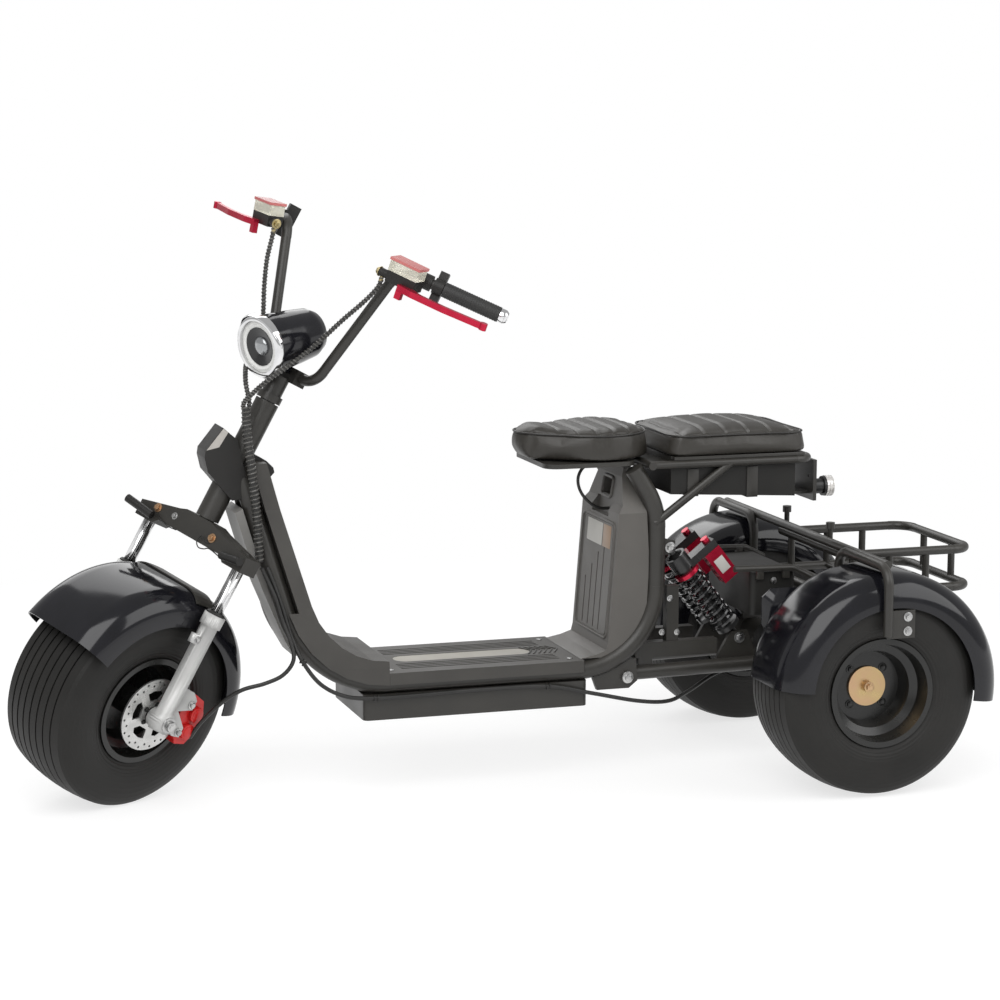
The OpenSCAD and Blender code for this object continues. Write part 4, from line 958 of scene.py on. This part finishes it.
# Clamp's lamp leads: two thin wires, one with a loop.
# They run along the clamp's face to the small lamps at its ends.
leads = bmesh.new()
for points in (
        [(25, 61, 372), (29, 50, 372), (30, 36, 378), (29, 30, 364), (28, 40, 354), (28, 56, 356),
         (27, 68, 362), (26, 90, 360), (25.5, 112, 356)],
        [(25, -110, 372), (27, -96, 366), (27, -80, 362), (27, -62, 360), (26, -40, 362)]):
    tube(leads, smooth_route([on_fork(*p) for p in points], 6), 0.0013, 2)
piece("lamp_leads", leads, hose_rubber, "steering")

# Tail lamp: a black round body on the plate behind the seat.
# A clear ribbed cap closes its end.
lamp_black = finish("tail_lamp_black", (0.015, 0.015, 0.015), (0.02, 0.02, 0.02), 0.3, 0.4, bump=0.08)
clear_cap = finish("tail_glass", (0.72, 0.7, 0.68), (0.66, 0.64, 0.61), 0.11, 0.19, grain=300, bump=0.03,
                   patch=40, metal=0.3, coat=1.0)
dress(lamp_black, "tail_lamp")
cap = bmesh.new()
ring(cap, at(-40, 50, 614), BACK,
     [(0.0222, 0), (0.0232, 0), (0.0232, 0.004), (0.0226, 0.005), (0.0232, 0.006), (0.0232, 0.01),
      (0.0226, 0.011), (0.0232, 0.012), (0.0232, 0.0165), (0.017, 0.0185), (0.0005, 0.0195),
      (0.0005, 0.0165), (0.0222, 0.0165)], 40)
piece("tail_lens", cap, clear_cap, "frame")

# Studio: a white floor that keeps a soft shadow and fades to plain white, in an even white room.
# Three big soft lamps stand ahead on the left, behind on the left and on the right.
WHITE = (1, 1, 1, 1)
floor_shape = bmesh.new()
bmesh.ops.create_grid(floor_shape, x_segments=1, y_segments=1, size=60)
floor_mesh = bpy.data.meshes.new("studio_floor")
floor_shape.to_mesh(floor_mesh)
floor_shape.free()
floor = bpy.data.objects.new("studio_floor", floor_mesh)
scene.collection.objects.link(floor)
sheet, tree, shader = blank("studio_white")
tree.nodes.remove(shader)
matt = add(tree, "BsdfDiffuse", [("Color", (0.8, 0.8, 0.8, 1))])
shadowed = add(tree, "BsdfDiffuse", [("Color", (0.35, 0.35, 0.35, 1))])
white = add(tree, "Emission", [("Strength", 0.72)])
near = add(tree, "AddShader")
far = add(tree, "Emission")
seen = add(tree, "MixShader")
where = add(tree, "TexCoord").outputs["Object"]
away = add(tree, "VectorMath", operation="LENGTH")
fade = add(tree, "MapRange", [("From Min", 1.2), ("From Max", 2.6)])
pick = add(tree, "MixShader")
path = add(tree, "LightPath").outputs
any_ray = add(tree, "Math", operation="MAXIMUM")
through = add(tree, "Math", operation="MAXIMUM")
wire(tree, (white.outputs[0], near.inputs[0]), (shadowed.outputs[0], near.inputs[1]),
     (where, away.inputs[0]), (away.outputs["Value"], fade.inputs["Value"]),
     (fade.outputs["Result"], seen.inputs[0]), (near.outputs[0], seen.inputs[1]),
     (far.outputs[0], seen.inputs[2]), (path["Is Camera Ray"], any_ray.inputs[0]),
     (path["Is Glossy Ray"], any_ray.inputs[1]), (any_ray.outputs[0], through.inputs[0]),
     (path["Is Transmission Ray"], through.inputs[1]), (through.outputs[0], pick.inputs[0]),
     (matt.outputs[0], pick.inputs[1]), (seen.outputs[0], pick.inputs[2]),
     (pick.outputs[0], tree.nodes["Material Output"].inputs["Surface"]))
floor_mesh.materials.append(sheet)

world = bpy.data.worlds.new("studio_room")
scene.world = world
world.use_nodes = True
tree = world.node_tree
light = tree.nodes["Background"]
light.inputs["Color"].default_value = WHITE
light.inputs["Strength"].default_value = 0.45
backdrop = add(tree, "Background", [("Color", WHITE), ("Strength", 1.0)])
pick = add(tree, "MixShader")
path = add(tree, "LightPath").outputs
any_ray = add(tree, "Math", operation="MAXIMUM")
wire(tree, (path["Is Camera Ray"], any_ray.inputs[0]), (path["Is Transmission Ray"], any_ray.inputs[1]),
     (any_ray.outputs[0], pick.inputs[0]), (light.outputs[0], pick.inputs[1]),
     (backdrop.outputs[0], pick.inputs[2]),
     (pick.outputs[0], tree.nodes["World Output"].inputs["Surface"]))

for name, place, size, watts in (("key", (2.2, 3.6, 4.2), 4.6, 210), ("fill", (-3.4, 2.8, 3.0), 3.6, 90),
                                 ("back", (0.2, -3.8, 3.6), 3.6, 80)):
    lamp = bpy.data.lights.new(name, "AREA")
    lamp.shape = "SQUARE"
    lamp.size = size
    lamp.energy = watts
    holder = bpy.data.objects.new(name, lamp)
    holder.location = place
    holder.rotation_euler = (Vector((0, 0, 0.4)) - Vector(place)).to_track_quat("-Z", "Y").to_euler()
    scene.collection.objects.link(holder)
